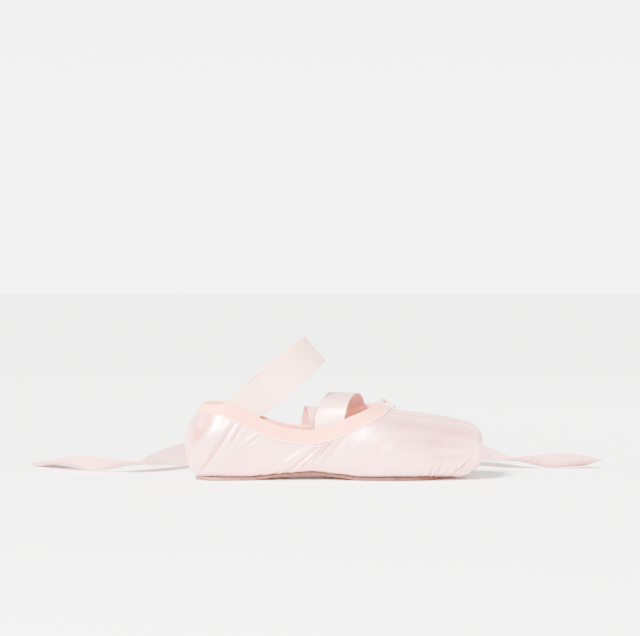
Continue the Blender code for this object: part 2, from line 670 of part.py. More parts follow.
def through(points, count):
    """Evenly spaced points on a smooth curve through the given ones."""
    measure = np.concatenate([[0], np.cumsum(np.linalg.norm(np.diff(points[:, :3], axis=0), axis=1))])
    slopes = np.gradient(points, measure, axis=0)
    at = np.linspace(0, measure[-1], count)
    k = np.clip(np.searchsorted(measure, at, side="right") - 1, 0, len(measure) - 2)
    gap = (measure[k + 1] - measure[k])[:, None]
    t = (at - measure[k])[:, None] / gap
    rest = 1 - t
    ends = points[k] * rest * rest * (1 + 2 * t) + points[k + 1] * t * t * (3 - 2 * t)
    return ends + gap * t * rest * (slopes[k] * rest - slopes[k + 1] * t)


def make_ribbon(name, route, collection):
    """A satin tie along its route, its lower edge as high as the route says."""
    line = through(np.array(route, float) * (LENGTH, BALL_WIDTH, THROAT_HEIGHT, 1, 1), 50)
    heading, edge = np.radians(line[:, 3]), np.radians(line[:, 4])
    across = np.stack([np.cos(heading) * np.cos(edge), np.sin(heading) * np.cos(edge), np.sin(edge)], -1)
    centres = line[:, :3].copy()
    tangent = unit(np.gradient(centres, axis=0))
    across = unit(across - (across * tangent).sum(-1, keepdims=True) * tangent)
    face = np.cross(tangent, across)
    centres[:, 2] += np.abs(across[:, 2]) * RIBBON_WIDTH / 2 + np.abs(face[:, 2]) * RIBBON_THICKNESS / 2
    return band(name, centres, across, RIBBON_WIDTH, RIBBON_THICKNESS, "satin", collection)


def knot_place():
    """Middle of the drawstring's knot, on the binding at the throat."""
    throat = onto_last(np.array([[COLLAR_LENGTH + 0.25 * BINDING_WIDTH, 0.0, 2 * THROAT_HEIGHT]]))[0]
    proud = 2 * GAP + WING_STEP + BINDING_THICKNESS + 0.42 * KNOT_SIZE
    return throat + proud * outward(throat[None])[0]


def make_knot(collection):
    """The knot that closes the drawstring, a flattened bead."""
    made = bmesh.new()
    bmesh.ops.create_uvsphere(made, u_segments=14, v_segments=9, radius=KNOT_SIZE / 2)
    bmesh.ops.scale(made, vec=KNOT_SHAPE, verts=made.verts)
    mesh = bpy.data.meshes.new("drawstring_knot")
    made.to_mesh(mesh)
    made.free()
    mesh.materials.append(bpy.data.materials["cord"])
    mesh.shade_smooth()
    knot = bpy.data.objects.new("drawstring_knot", mesh)
    knot.location = knot_place() - (LENGTH / 2, 0, 0)
    collection.objects.link(knot)


def make_string_end(side, collection):
    """A short end of the drawstring that leaves the knot and lies over the vamp."""
    ahead, across, over = through(np.array(STRING_ENDS[side]), 40).T * KNOT_SIZE
    knot = knot_place()
    foot = np.stack([knot[0] + ahead, across, np.full(len(ahead), THROAT_HEIGHT)], -1)
    foot = onto_last(foot)
    line = foot + over[:, None] * outward(foot)
    line += knot - line[0]
    away = np.linalg.norm((line - knot) / KNOT_SHAPE, axis=1)
    line = line[np.argmax(away > 0.5 * KNOT_SIZE + GAP):][::2] - (LENGTH / 2, 0, 0)
    name = f"drawstring_end_{side}"
    curve = bpy.data.curves.new(name, "CURVE")
    curve.dimensions = "3D"
    curve.bevel_depth = STRING_WIDTH / 2
    curve.bevel_resolution = 2
    curve.use_fill_caps = True
    spline = curve.splines.new("POLY")
    spline.points.add(len(line) - 1)
    spline.points.foreach_set("co", np.column_stack([line, np.ones(len(line))]).ravel())
    curve.materials.append(bpy.data.materials["cord"])
    collection.objects.link(bpy.data.objects.new(name, curve))


def main():
    clear_scene()
    collection = bpy.data.collections.new("pointe_shoe")
    bpy.context.scene.collection.children.link(collection)
    for name in COLOURS:
        material(name)
    make_upper(collection)
    make_outsole(collection)
    make_insole(collection)
    make_binding(collection)
    make_strap(collection)
    make_ribbon("ribbon_near", NEAR_RIBBON, collection)
    make_ribbon("ribbon_far", FAR_RIBBON, collection)
    make_knot(collection)
    for side in STRING_ENDS:
        make_string_end(side, collection)


main()
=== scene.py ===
# Pointe shoe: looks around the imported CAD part.
# x runs from heel to toe, y across the foot and z up from the floor, in metres.
# Shapes are worked out with x = 0 at the back of the heel, then moved by half the shoe's length.
import math

import bmesh
import bpy
import numpy as np
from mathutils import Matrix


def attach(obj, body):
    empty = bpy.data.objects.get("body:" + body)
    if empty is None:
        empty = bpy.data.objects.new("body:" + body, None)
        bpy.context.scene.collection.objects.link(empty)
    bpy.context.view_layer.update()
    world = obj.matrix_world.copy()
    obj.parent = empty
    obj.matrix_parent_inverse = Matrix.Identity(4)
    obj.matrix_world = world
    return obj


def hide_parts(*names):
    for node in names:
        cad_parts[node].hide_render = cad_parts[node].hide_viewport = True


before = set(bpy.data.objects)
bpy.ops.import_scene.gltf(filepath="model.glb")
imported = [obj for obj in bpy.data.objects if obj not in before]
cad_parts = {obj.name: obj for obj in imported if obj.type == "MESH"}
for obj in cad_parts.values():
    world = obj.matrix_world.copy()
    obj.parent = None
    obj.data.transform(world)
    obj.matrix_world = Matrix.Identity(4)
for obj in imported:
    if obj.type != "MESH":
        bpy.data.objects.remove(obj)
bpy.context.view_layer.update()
print("frame loaded:", sorted(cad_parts))


# Camera, floor and light

view = dict(lens=135, film=36, width=0.498, centre=(-0.010, 0.0, 0.125), azimuth=3.0, elevation=1.6,
            farthest=30)
studio = dict(floorHalf=8, floorColour=(0.93, 0.925, 0.92), floorRoughness=0.9, shoeMiddle=(0, 0, 0.04),
              skyColour=(1.0, 0.985, 0.975), skyEdge=6.6, skyTop=0.8, edgeStart=0.05, edgeRise=0.32,
              sun=23, sunColour=(1.0, 0.985, 0.97), sunSpread=math.radians(16), sunFrom=(-0.62, -0.80, 0.80))
softLights = [  # name, place, size and watts
    ("front", (-0.45, -1.25, 0.62), (1.3, 0.22), 34),
    ("rim", (0.55, 0.9, 0.85), (1.0, 0.5), 9),
]


def lookAt(thing, spot):
    way = np.array(spot) - np.array(thing.location)
    level = math.hypot(way[0], way[1])
    thing.rotation_euler = (math.atan2(level, -way[2]), 0, math.atan2(-way[0], way[1]))


def putThing(name, data, place=(0, 0, 0), aim=None):
    made = bpy.data.objects.new(name, data)
    made.location = place
    if aim is not None:
        lookAt(made, aim)
    bpy.context.scene.collection.objects.link(made)
    return made


def makeCamera():  # as far off as the view's width asks, turned and raised about its centre
    lens = bpy.data.cameras.new("camera")
    lens.lens = view["lens"]
    lens.clip_end = view["farthest"]
    away = view["width"] / (view["film"] / view["lens"])
    turn, rise = math.radians(view["azimuth"]), math.radians(view["elevation"])
    way = (-math.sin(turn) * math.cos(rise), -math.cos(turn) * math.cos(rise), math.sin(rise))
    place = [middle + away * part for middle, part in zip(view["centre"], way)]
    bpy.context.scene.camera = putThing("camera", lens, place, view["centre"])


def makeFloor():
    half = studio["floorHalf"]
    mesh = bpy.data.meshes.new("floor")
    corners = [(-half, -half, 0), (half, -half, 0), (half, half, 0), (-half, half, 0)]
    mesh.from_pydata(corners, [], [(0, 1, 2, 3)])
    paper = bpy.data.materials.new("floorPaper")
    paper.use_nodes = True
    shader = paper.node_tree.nodes["Principled BSDF"]
    shader.inputs["Base Color"].default_value = (*studio["floorColour"], 1)
    shader.inputs["Roughness"].default_value = studio["floorRoughness"]
    mesh.materials.append(paper)
    putThing("floor", mesh)


def makeSky():  # bright near the horizon, as pale walls are, and softer above
    world = bpy.data.worlds.new("studio")
    world.use_nodes = True
    tree = world.node_tree
    sky = tree.nodes["Background"]
    sky.inputs["Color"].default_value = (*studio["skyColour"], 1)
    way = tree.nodes.new("ShaderNodeTexCoord")
    height = tree.nodes.new("ShaderNodeSeparateXYZ")
    level = tree.nodes.new("ShaderNodeMapRange")
    level.interpolation_type = "SMOOTHSTEP"
    level.inputs["From Min"].default_value = studio["edgeStart"]
    level.inputs["From Max"].default_value = studio["edgeRise"]
    level.inputs["To Min"].default_value = studio["skyEdge"]
    level.inputs["To Max"].default_value = studio["skyTop"]
    tree.links.new(way.outputs["Generated"], height.inputs[0])
    tree.links.new(height.outputs["Z"], level.inputs["Value"])
    tree.links.new(level.outputs["Result"], sky.inputs["Strength"])
    bpy.context.scene.world = world


def makeLights():
    sun = bpy.data.lights.new("key", "SUN")
    sun.energy = studio["sun"]
    sun.angle = studio["sunSpread"]
    sun.color = studio["sunColour"]
    putThing("key", sun, studio["sunFrom"], (0, 0, 0))
    for name, place, size, watts in softLights:
        lamp = bpy.data.lights.new(name, "AREA")
        lamp.shape = "RECTANGLE"
        lamp.size, lamp.size_y = size
        lamp.energy = watts
        putThing(name, lamp, place, studio["shoeMiddle"])


makeCamera()
makeFloor()
makeSky()
makeLights()
print("camera and studio ready")


# Small tools

def unit(vectors):
    return vectors / np.maximum(np.linalg.norm(vectors, axis=-1, keepdims=True), 1e-12)


def fade(value, start, end):  # 0 before start, 1 after end, a smooth step between
    share = np.clip((value - start) / (end - start), 0, 1)
    return share * share * (3 - 2 * share)


def bell(value, width):
    return np.exp(-(value / width) ** 2)


def lengthAlong(points):
    return np.concatenate([[0], np.cumsum(np.linalg.norm(np.diff(points, axis=0), axis=1))])


def lengthAcross(grid):  # the same along each row of a grid
    steps = np.cumsum(np.linalg.norm(np.diff(grid, axis=1), axis=-1), axis=1)
    return np.concatenate([np.zeros((len(grid), 1)), steps], axis=1)


def hermite(values, slopes, k, t, gap):  # the cubic with given ends and slopes
    rest = 1 - t
    ends = values[k] * rest * rest * (1 + 2 * t) + values[k + 1] * t * t * (3 - 2 * t)
    return ends + gap * t * rest * (slopes[k] * rest - slopes[k + 1] * t)


def tableValue(rows, at):  # cubic through the rows of a table that never overshoots them
    knots, values = np.array(rows, float).T
    steps = np.diff(knots)
    rises = np.diff(values) / steps
    turns = rises[:-1] * rises[1:]
    slopes = np.empty(len(knots))
    slopes[1:-1] = np.where(turns > 0, 2 * turns / np.where(turns > 0, rises[:-1] + rises[1:], 1), 0)
    slopes[0], slopes[-1] = rises[0], rises[-1]
    at = np.clip(at, knots[0], knots[-1])
    k = np.clip(np.searchsorted(knots, at, side="right") - 1, 0, len(knots) - 2)
    return hermite(values, slopes, k, (at - knots[k]) / steps[k], steps[k])


def through(points, count):  # evenly spaced points on a smooth curve through the given ones
    measure = lengthAlong(points[:, :3])
    slopes = np.gradient(points, measure, axis=0)
    at = np.linspace(0, measure[-1], count)
    k = np.clip(np.searchsorted(measure, at, side="right") - 1, 0, len(measure) - 2)
    gap = (measure[k + 1] - measure[k])[:, None]
    return hermite(points, slopes, k, (at - measure[k])[:, None] / gap, gap)


def gridQuads(rows, count, closedRows=False, closedCount=False):  # quads between neighbours of a grid
    index = np.arange(rows * count).reshape(rows, count)
    a, b = index, np.roll(index, -1, axis=0)
    c, d = np.roll(b, -1, axis=1), np.roll(a, -1, axis=1)
    quads = np.stack([a, b, c, d], -1)
    quads = quads if closedRows else quads[:-1]
    return quads if closedCount else quads[:, :-1]


def capped(rows, count):  # faces of a tube of rows rings, with a flat face at each end
    faces = gridQuads(rows, count, closedCount=True).reshape(-1, 4).tolist()
    end = count * (rows - 1)
    return faces + [list(range(count)), list(range(end, end + count))]


def putMesh(name, points, faces, uv, materials, slots=None, marks=None, node=None, slot="satin"):
    # faces are lists of point numbers, uv is a place in metres per point,
    # and marks are named values per point that the materials read
    mesh = bpy.data.meshes.new(name)
    points = points.reshape(-1, 3) - (0.5 * last["length"], 0, 0)
    mesh.from_pydata(points, [], faces)
    corners = np.empty(len(mesh.loops), np.int32)
    mesh.loops.foreach_get("vertex_index", corners)
    layer = mesh.uv_layers.new(name="metres")
    layer.data.foreach_set("uv", np.ascontiguousarray(uv.reshape(-1, 2)[corners], np.float32).ravel())
    for key, values in (marks or {}).items():
        layer = mesh.attributes.new(key, "FLOAT", "POINT")
        layer.data.foreach_set("value", np.ascontiguousarray(values.ravel(), np.float32))
    if slots is not None:
        mesh.polygons.foreach_set("material_index", np.ascontiguousarray(slots, np.int32))
    work = bmesh.new()
    work.from_mesh(mesh)
    bmesh.ops.remove_doubles(work, verts=work.verts, dist=1e-6)
    bmesh.ops.recalc_face_normals(work, faces=work.faces)
    work.to_mesh(mesh)
    work.free()
    mesh.shade_smooth()
    for item in materials:
        mesh.materials.append(item)
    made = putThing(name, mesh)
    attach(made, "root")
    if node:
        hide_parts(node)
    return made


# Materials

waveSpan = 0.314  # metres from band to band of a wave texture whose scale is one


class Nodes:  # short way to add and join shader nodes
    def __init__(self, name):
        self.material = bpy.data.materials.new(name)
        self.material.use_nodes = True
        self.tree = self.material.node_tree
        self.shader = self.tree.nodes["Principled BSDF"]

    def feed(self, node, values):  # sockets are linked, values are set, and colours get their alpha
        for key, value in values.items():
            if isinstance(value, bpy.types.NodeSocket):
                self.tree.links.new(value, node.inputs[key])
            elif node.inputs[key].type == "RGBA":
                node.inputs[key].default_value = (*value, 1)
            else:
                node.inputs[key].default_value = value

    def add(self, kind, inputs=(), **settings):
        node = self.tree.nodes.new(kind)
        for key, value in settings.items():
            setattr(node, key, value)
        self.feed(node, dict(inputs))
        return node

    def finish(self, values):
        self.feed(self.shader, values)
        return self.material

    def uv(self, scale=(1, 1, 1)):
        coords = self.add("ShaderNodeUVMap", uv_map="metres").outputs["UV"]
        return self.add("ShaderNodeMapping", {"Vector": coords, "Scale": scale}).outputs["Vector"]

    def place(self):
        return self.add("ShaderNodeTexCoord").outputs["Object"]

    def mark(self, name):
        return self.add("ShaderNodeAttribute", attribute_name=name).outputs["Fac"]

    def noise(self, vector, scale, detail=3.0, roughness=0.5):
        inputs = {"Vector": vector, "Scale": scale, "Detail": detail, "Roughness": roughness}
        return self.add("ShaderNodeTexNoise", inputs).outputs["Fac"]

    def bands(self, vector, period, direction="X", distortion=0.0):
        inputs = {"Vector": vector, "Scale": waveSpan / period, "Distortion": distortion, "Detail": 1.0,
                  "Detail Scale": 1.0}
        made = self.add("ShaderNodeTexWave", inputs, wave_type="BANDS", bands_direction=direction)
        return made.outputs["Fac"]

    def ramp(self, value, stops):
        made = self.add("ShaderNodeValToRGB", {"Fac": value})
        for element, (place, colour) in zip(made.color_ramp.elements, stops):
            element.position = place
            element.color = (*colour, 1)
        return made.outputs["Color"]

    def mix(self, share, one, other):
        return self.add("ShaderNodeMix", {0: share, 6: one, 7: other}, data_type="RGBA").outputs[2]

    def times(self, one, other):
        return self.add("ShaderNodeMath", {0: one, 1: other}, operation="MULTIPLY").outputs[0]

    def bump(self, height, distance, strength=1.0, normal=None):
        inputs = {"Height": height, "Distance": distance, "Strength": strength}
        if normal is not None:
            inputs["Normal"] = normal
        return self.add("ShaderNodeBump", inputs).outputs["Normal"]


def grey(value):
    return (value, value, value)


def darker(colour, share):
    return tuple(share * part for part in colour)


# deep is the colour of painted shade in hollows; seam is the dark colour of needle lines and of painted shade
# in gathers and folds
satinLook = dict(light=(0.88, 0.47, 0.43), deep=(0.68, 0.24, 0.20), seam=(0.20, 0.085, 0.07), roughness=0.30,
                 sheen=0.15, thread=0.00042, weave=0.000018, along=0.5, metal=0.42)
ribbonLook = dict(light=(0.86, 0.45, 0.405), roughness=0.32, sheen=0.25, thread=0.0004, weave=0.000016,
                  along=0.4, metal=0.3)
satinGrain = dict(drift=38, driftShade=0.955, floats=(60, 900, 1), floatHeight=0.00004, slow=(14, 80, 1),
                  glossier=0.04, duller=0.07, sheenRoughness=0.45, specular=0.75)


def satin(name, look, streak=0.0):
    # long floats run along the piece: fine bands across, a slow colour drift, painted pink shade in hollows,
    # and dark needle lines with painted shade in gathers and folds
    n = Nodes(name)
    colour = n.mix(n.noise(n.place(), satinGrain["drift"]), look["light"],
                   darker(look["light"], satinGrain["driftShade"]))
    thread = n.bands(n.uv(), look["thread"], "Y", 1.5)
    floats = n.noise(n.uv(satinGrain["floats"]), 1.0)
    normal = n.bump(floats, satinGrain["floatHeight"], 0.25, n.bump(thread, look["weave"], 0.5))
    if streak:
        # painted shade: relief mixes in the deep colour where folds and streaks are hollow, seam mixes in the
        # seam colour on needle lines and as painted shade in gathers and folds
        colour = n.mix(n.mark("seam"), n.mix(n.mark("relief"), colour, look["deep"]), look["seam"])
        normal = n.bump(n.noise(n.uv(satinGrain["slow"]), 1.0, 1), streak, 0.6, normal)
    shine = n.ramp(floats, [(0.3, grey(look["roughness"] - satinGrain["glossier"])),
                            (0.7, grey(look["roughness"] + satinGrain["duller"]))])
    tangent = n.add("ShaderNodeTangent", direction_type="UV_MAP", uv_map="metres").outputs["Tangent"]
    return n.finish({"Base Color": colour, "Normal": normal, "Roughness": shine, "Tangent": tangent,
                     "Sheen Weight": look["sheen"], "Sheen Roughness": satinGrain["sheenRoughness"],
                     "Specular IOR Level": satinGrain["specular"], "Anisotropic": look["along"],
                     "Metallic": look["metal"]})


weaveGrain = dict(stain=55, stainShade=0.93, hollow=0.35, slack=0.6, fuzz=2400, fuzzHeight=0.00003)


def woven(name, colour, deep, period=0.0007, height=0.00008, roughness=0.85, fuzz=0.15):
    # plain weave: two sets of bands multiplied, a slow stain and a fine fuzz
    n = Nodes(name)
    warp = n.bands(n.uv(), period, "X", weaveGrain["slack"])
    weft = n.bands(n.uv(), period, "Y", weaveGrain["slack"])
    weave = n.times(warp, weft)
    stain = n.noise(n.place(), weaveGrain["stain"], 4)
    shade = n.mix(stain, colour, darker(colour, weaveGrain["stainShade"]))
    shade = n.mix(n.times(weave, weaveGrain["hollow"]), shade, deep)
    nap = n.bump(n.noise(n.place(), weaveGrain["fuzz"], 2), weaveGrain["fuzzHeight"], 0.4)
    return n.finish({"Base Color": shade, "Normal": n.bump(weave, height, 0.7, nap), "Roughness": roughness,
                     "Sheen Weight": fuzz, "Specular IOR Level": 0.25})


threadTwist = dict(period=0.0005, stretch=(1, 0.6, 1), shade=0.78, height=0.00008)


def twisted(name, colour, roughness=0.55):
    # twisted thread: slanting bands along it, the sunken part of each painted darker as shade in the twist's
    # grooves
    n = Nodes(name)
    twist = n.bands(n.uv(threadTwist["stretch"]), threadTwist["period"], "DIAGONAL", 0.4)
    return n.finish({"Base Color": n.mix(twist, darker(colour, threadTwist["shade"]), colour),
                     "Normal": n.bump(twist, threadTwist["height"], 0.8), "Roughness": roughness,
                     "Sheen Weight": 0.2, "Specular IOR Level": 0.3})


leatherTones = dict(dark=(0.37, 0.205, 0.14), light=(0.49, 0.30, 0.215), scuff=(0.62, 0.44, 0.34),
                    edge=(0.17, 0.075, 0.048), nick=(0.045, 0.02, 0.014), mottle=70, nicks=480, nap=1500,
                    mottleHeight=0.00018, napHeight=0.00012)


def soleLeather(name):
    # buffed split leather: mottled tan, long soft scuffs, and an edge that is darker, smoother and nicked
    n = Nodes(name)
    mottle = n.noise(n.place(), leatherTones["mottle"], 6, 0.62)
    colour = n.ramp(mottle, [(0.32, leatherTones["dark"]), (0.68, leatherTones["light"])])
    worn = n.ramp(n.noise(n.uv((24, 160, 1)), 1.0, 5, 0.6), [(0.52, grey(0)), (0.72, grey(1))])
    colour = n.mix(n.times(worn, 0.35), colour, leatherTones["scuff"])
    edge = n.mark("relief")
    colour = n.mix(edge, colour, leatherTones["edge"])
    nicks = n.ramp(n.noise(n.place(), leatherTones["nicks"], 2, 0.7), [(0.53, grey(0)), (0.62, grey(1))])
    colour = n.mix(n.times(n.times(nicks, edge), 0.8), colour, leatherTones["nick"])
    nap = n.bump(n.noise(n.place(), leatherTones["nap"], 3, 0.6), leatherTones["napHeight"], 0.6)
    return n.finish({"Base Color": colour, "Normal": n.bump(mottle, leatherTones["mottleHeight"], 0.5, nap),
                     "Roughness": n.ramp(edge, [(0.0, grey(0.88)), (1.0, grey(0.5))]), "Sheen Weight": 0.12,
                     "Specular IOR Level": 0.35})


elasticTones = dict(light=(0.84, 0.49, 0.375), drift=(0.79, 0.44, 0.33), rib=(0.64, 0.34, 0.25), ribs=0.0011,
                    picks=0.0008, ribHeight=0.00012, pickHeight=0.00004)


def ribbedElastic(name):
    # covered rubber threads run along it: ribs along, finer picks across
    n = Nodes(name)
    ribs = n.bands(n.uv(), elasticTones["ribs"], "Y")
    picks = n.bands(n.uv(), elasticTones["picks"], "X", 0.3)
    shade = n.mix(n.noise(n.place(), 60), elasticTones["light"], elasticTones["drift"])
    normal = n.bump(ribs, elasticTones["ribHeight"], 0.7, n.bump(picks, elasticTones["pickHeight"], 0.5))
    return n.finish({"Base Color": n.mix(n.times(ribs, 0.22), shade, elasticTones["rib"]), "Normal": normal,
                     "Roughness": 0.6, "Sheen Weight": 0.25, "Specular IOR Level": 0.35})


satinCloth = satin("peachSatin", satinLook, streak=0.0004)
ribbonCloth = satin("ribbonSatin", ribbonLook)
sockCloth = woven("sockCotton", (0.82, 0.66, 0.55), (0.60, 0.45, 0.36), period=0.0009)
liningCloth = woven("creamLining", (0.83, 0.66, 0.55), (0.62, 0.45, 0.36))
tapeCloth = woven("peachTape", (0.90, 0.31, 0.205), (0.72, 0.19, 0.12), 0.00055, 0.00005, 0.62, 0.25)
pipedTape = woven("palePiping", (0.91, 0.47, 0.37), (0.78, 0.33, 0.24), 0.0005, 0.00005, 0.6, 0.25)
pipeThread = twisted("paleThread", (0.92, 0.72, 0.64))
seamThread = twisted("seamThread", (0.93, 0.82, 0.78))
goldCord = twisted("goldenCord", (0.60, 0.36, 0.16), 0.6)
leatherCloth = soleLeather("buffedLeather")
elasticCloth = ribbedElastic("creamElastic")
print("materials ready")


# The last: sizes and tables that the CAD part uses too

last = dict(length=0.230, ballWidth=0.078, waistWidth=0.055, heelWidth=0.053, platformWidth=0.054,
            platformTop=0.0405, platformEdge=0.005, toeLift=0.0087, throatHeight=0.0575, heelHeight=0.058,
            sideHeight=0.038, heelBulge=0.016, heelRound=0.032, heelPlan=2.3, sectionTop=2.3, sectionBottom=4.2,
            vampLength=0.079, archRise=0.004, boxWall=0.0028, quarterWall=0.0012, tuckWall=0.0012,
            tuckLap=0.007, wingStep=0.0008, wingSlant=math.radians(40), wingBlend=0.024, soleHeelMargin=0.008,
            soleToeMargin=0.030, soleWidth=0.054, soleWaist=0.027, soleHeel=0.038, solePlan=2.2,
            soleThickness=0.0025, insoleThickness=0.0018, bindingWidth=0.0095, bindingThickness=0.0012,
            gap=0.0003)
long = last["length"]
collarLength = long - last["vampLength"]
soleBack = last["soleHeelMargin"]
soleFront = long - last["soleToeMargin"]
toeLength = long - soleFront
seat = last["soleThickness"] + last["gap"]
coreHeight = 0.45 * last["throatHeight"]
coreBack = last["heelRound"]
coreFront = long - 0.57 * last["vampLength"]
wingBase = 0.58 * collarLength
wingTilt = math.tan(last["wingSlant"])


def sized(rows, span):  # a row is a share of the span, then a share of a named size
    return [(place * span, share * last[name]) for place, share, name in rows]


widths = sized([(0.00, 0.99, "heelWidth"), (0.13, 1.00, "heelWidth"), (0.28, 0.97, "heelWidth"),
                (0.42, 1.00, "waistWidth"), (0.54, 0.85, "ballWidth"), (0.64, 0.97, "ballWidth"),
                (0.70, 1.00, "ballWidth"), (0.78, 0.965, "ballWidth"), (0.88, 1.18, "platformWidth"),
                (0.95, 1.06, "platformWidth"), (1.00, 1.00, "platformWidth")], long)
crest = sized([(0.00, 1.72, "throatHeight"), (0.35, 1.52, "throatHeight"), (0.70, 1.33, "throatHeight"),
               (0.86, 1.17, "throatHeight"), (0.95, 1.06, "throatHeight"), (1.00, 1.00, "throatHeight")],
              collarLength)
# past the throat: a share of the vamp, then how far down from the throat to the platform
crest += [(collarLength + place * last["vampLength"],
           (1 - share) * last["throatHeight"] + share * last["platformTop"])
          for place, share in ((0.14, 0.18), (0.28, 0.28), (0.53, 0.44), (0.80, 0.67), (0.92, 0.86),
                               (1.00, 1.00))]
topline = sized([(0.00, 0.99, "heelHeight"), (0.18, 1.00, "heelHeight"), (0.26, 0.95, "heelHeight"),
                 (0.34, 0.86, "heelHeight"), (0.44, 1.14, "sideHeight"), (0.54, 1.03, "sideHeight"),
                 (0.63, 1.00, "sideHeight"), (0.72, 1.06, "sideHeight"), (0.82, 0.81, "throatHeight"),
                 (0.91, 0.90, "throatHeight"), (1.00, 1.00, "throatHeight")], collarLength)
widest = sized([(0.00, 0.62, "sideHeight"), (0.42, 0.52, "sideHeight"), (0.70, 0.50, "sideHeight"),
                (0.90, 0.55, "platformTop"), (1.00, 0.66, "platformTop")], long)
archTable = sized([(0.22, 0.0, "archRise"), (0.32, 0.62, "archRise"), (0.42, 1.0, "archRise"),
                   (0.50, 0.62, "archRise"), (0.58, 0.0, "archRise")], long)
toeCurve = [(soleFront + place * toeLength, share * last[name])
            for place, share, name in ((0.24, 0.0, "toeLift"), (0.40, -0.28, "soleThickness"),
                                       (0.56, 0.03, "toeLift"), (0.78, 0.42, "toeLift"),
                                       (1.00, 1.0, "toeLift"))]
heelBack = sized([(0.00, 0.62, "heelBulge"), (0.14, 0.28, "heelBulge"), (0.32, 0.05, "heelBulge"),
                  (0.48, 0.00, "heelBulge"), (0.66, 0.09, "heelBulge"), (0.84, 0.42, "heelBulge"),
                  (1.00, 0.90, "heelBulge"), (1.30, 1.70, "heelBulge")], last["heelHeight"])
soleWidths = sized([(0.04, 0.92, "soleHeel"), (0.11, 1.00, "soleHeel"), (0.20, 0.94, "soleHeel"),
                    (0.32, 1.07, "soleWaist"), (0.41, 1.00, "soleWaist"), (0.52, 0.66, "soleWidth"),
                    (0.62, 0.92, "soleWidth"), (0.70, 1.00, "soleWidth"), (0.79, 0.94, "soleWidth"),
                    (0.87, 0.80, "soleWidth")], long)


def arch(x):
    return tableValue(archTable, x)


def low(x):  # height of the upper's underside
    return seat + arch(x) + tableValue(toeCurve, x)


def superEllipse(share, power):
    return (1 - np.clip(share, 0, 1) ** power) ** (1 / power)


def halfWidth(x, z):  # half the upper's width at a place and a height, 0 outside the last
    edge = np.clip((x - long + last["platformEdge"]) / last["platformEdge"], 0, 1)
    inset = last["platformEdge"] * (1 - np.sqrt(1 - edge * edge))
    side = tableValue(widths, x) / 2 - inset
    bottom = low(x) + inset
    top = tableValue(crest, x) - inset
    middle = tableValue(widest, x)
    above = superEllipse((z - middle) / (top - middle), last["sectionTop"])
    below = superEllipse((middle - z) / (middle - bottom), last["sectionBottom"])
    behind = superEllipse(1 - (x - tableValue(heelBack, z)) / last["heelRound"], last["heelPlan"])
    return np.where(x < long, side * above * below * behind, 0)


def bisect(test, most, count=24):  # the largest value that passes a test
    lower, upper = np.zeros(np.shape(most)), np.array(most, float)
    for _ in range(count):
        middle = (lower + upper) / 2
        passed = test(middle)
        lower = np.where(passed, middle, lower)
        upper = np.where(passed, upper, middle)
    return (lower + upper) / 2


def coreOf(points):
    core = np.zeros(points.shape)
    core[..., 0] = np.clip(points[..., 0], coreBack, coreFront)
    core[..., 2] = coreHeight
    return core


def ontoLast(points):  # straight out from the core line to the last
    core = coreOf(points)
    way = unit(points - core)

    def within(reach):
        at = core + reach[..., None] * way
        return np.abs(at[..., 1]) < halfWidth(at[..., 0], at[..., 2])

    reach = bisect(within, np.full(points.shape[:-1], 0.9 * long))
    return core + reach[..., None] * way


probe = 0.0003


def outward(points):  # unit normals: how fast distance over reach grows along each axis
    core = coreOf(points)
    slope = np.zeros(points.shape)
    for axis in range(3):
        for side in (1, -1):
            moved = points.copy()
            moved[..., axis] += side * probe
            reach = np.linalg.norm(moved - core, axis=-1)
            full = np.linalg.norm(ontoLast(moved) - core, axis=-1)
            slope[..., axis] += side * reach / full
    return unit(slope)


def soleHalf(x, inset):  # half the outsole's width, or of an outline inset from its edge
    back = superEllipse(1 - (x - soleBack - inset) / (0.5 * last["soleHeel"]), last["solePlan"])
    front = superEllipse(1 - (soleFront - inset - x) / (0.55 * last["soleWidth"]), last["solePlan"])
    return (tableValue(soleWidths, x) / 2 - inset) * back * front


def lean(place, z):  # a column leans forward with height, so that one follows the wing's edge
    before = fade(place, coreBack, wingBase)
    after = np.clip((collarLength - place) / (collarLength - wingBase), 0, 1)
    return np.minimum(before, after) * np.maximum(z - seat, 0) * wingTilt


def pastWing(x, z):
    return x - wingBase - np.maximum(z - seat, 0) * wingTilt


def strike(place, heading, tilt, times=5):  # the last seen from the core line, in columns that lean
    way = np.stack([np.cos(heading) * np.cos(tilt), -np.sin(heading) * np.cos(tilt), np.sin(tilt)], -1)
    stand = np.broadcast_to(place, tilt.shape)
    for _ in range(times):
        core = np.stack([stand, np.zeros(tilt.shape), np.full(tilt.shape, coreHeight)], -1)
        hit = ontoLast(core + 0.001 * way)
        stand = place + lean(place, hit[..., 2])
    return hit


def soleReach(place, heading, inset):
    def within(reach):
        return reach * np.sin(heading) < soleHalf(place + reach * np.cos(heading), inset) - 1e-9

    return bisect(within, np.full(place.shape, 0.5 * long))


def lowerTilt(place, heading):
    inside = soleReach(place, heading, last["tuckLap"])
    return -np.arctan2(coreHeight - low(place + inside * np.cos(heading)), inside)


def upperTilt(place, heading):
    def within(tilt):
        at = strike(place, heading, tilt)
        return at[..., 2] < tableValue(topline, at[..., 0])

    tilt = bisect(within, np.full(place.shape, math.pi / 2), 22)
    return np.where(place < collarLength - 1e-6, tilt, math.pi / 2)


def wallAt(points):
    stiff = fade(pastWing(points[..., 0], points[..., 2]), 0, last["wingBlend"])
    wall = last["quarterWall"] + (last["boxWall"] - last["quarterWall"]) * stiff
    rise = points[..., 2] - low(points[..., 0])
    return last["tuckWall"] + (wall - last["tuckWall"]) * fade(rise, last["tuckWall"], 6 * last["tuckWall"])
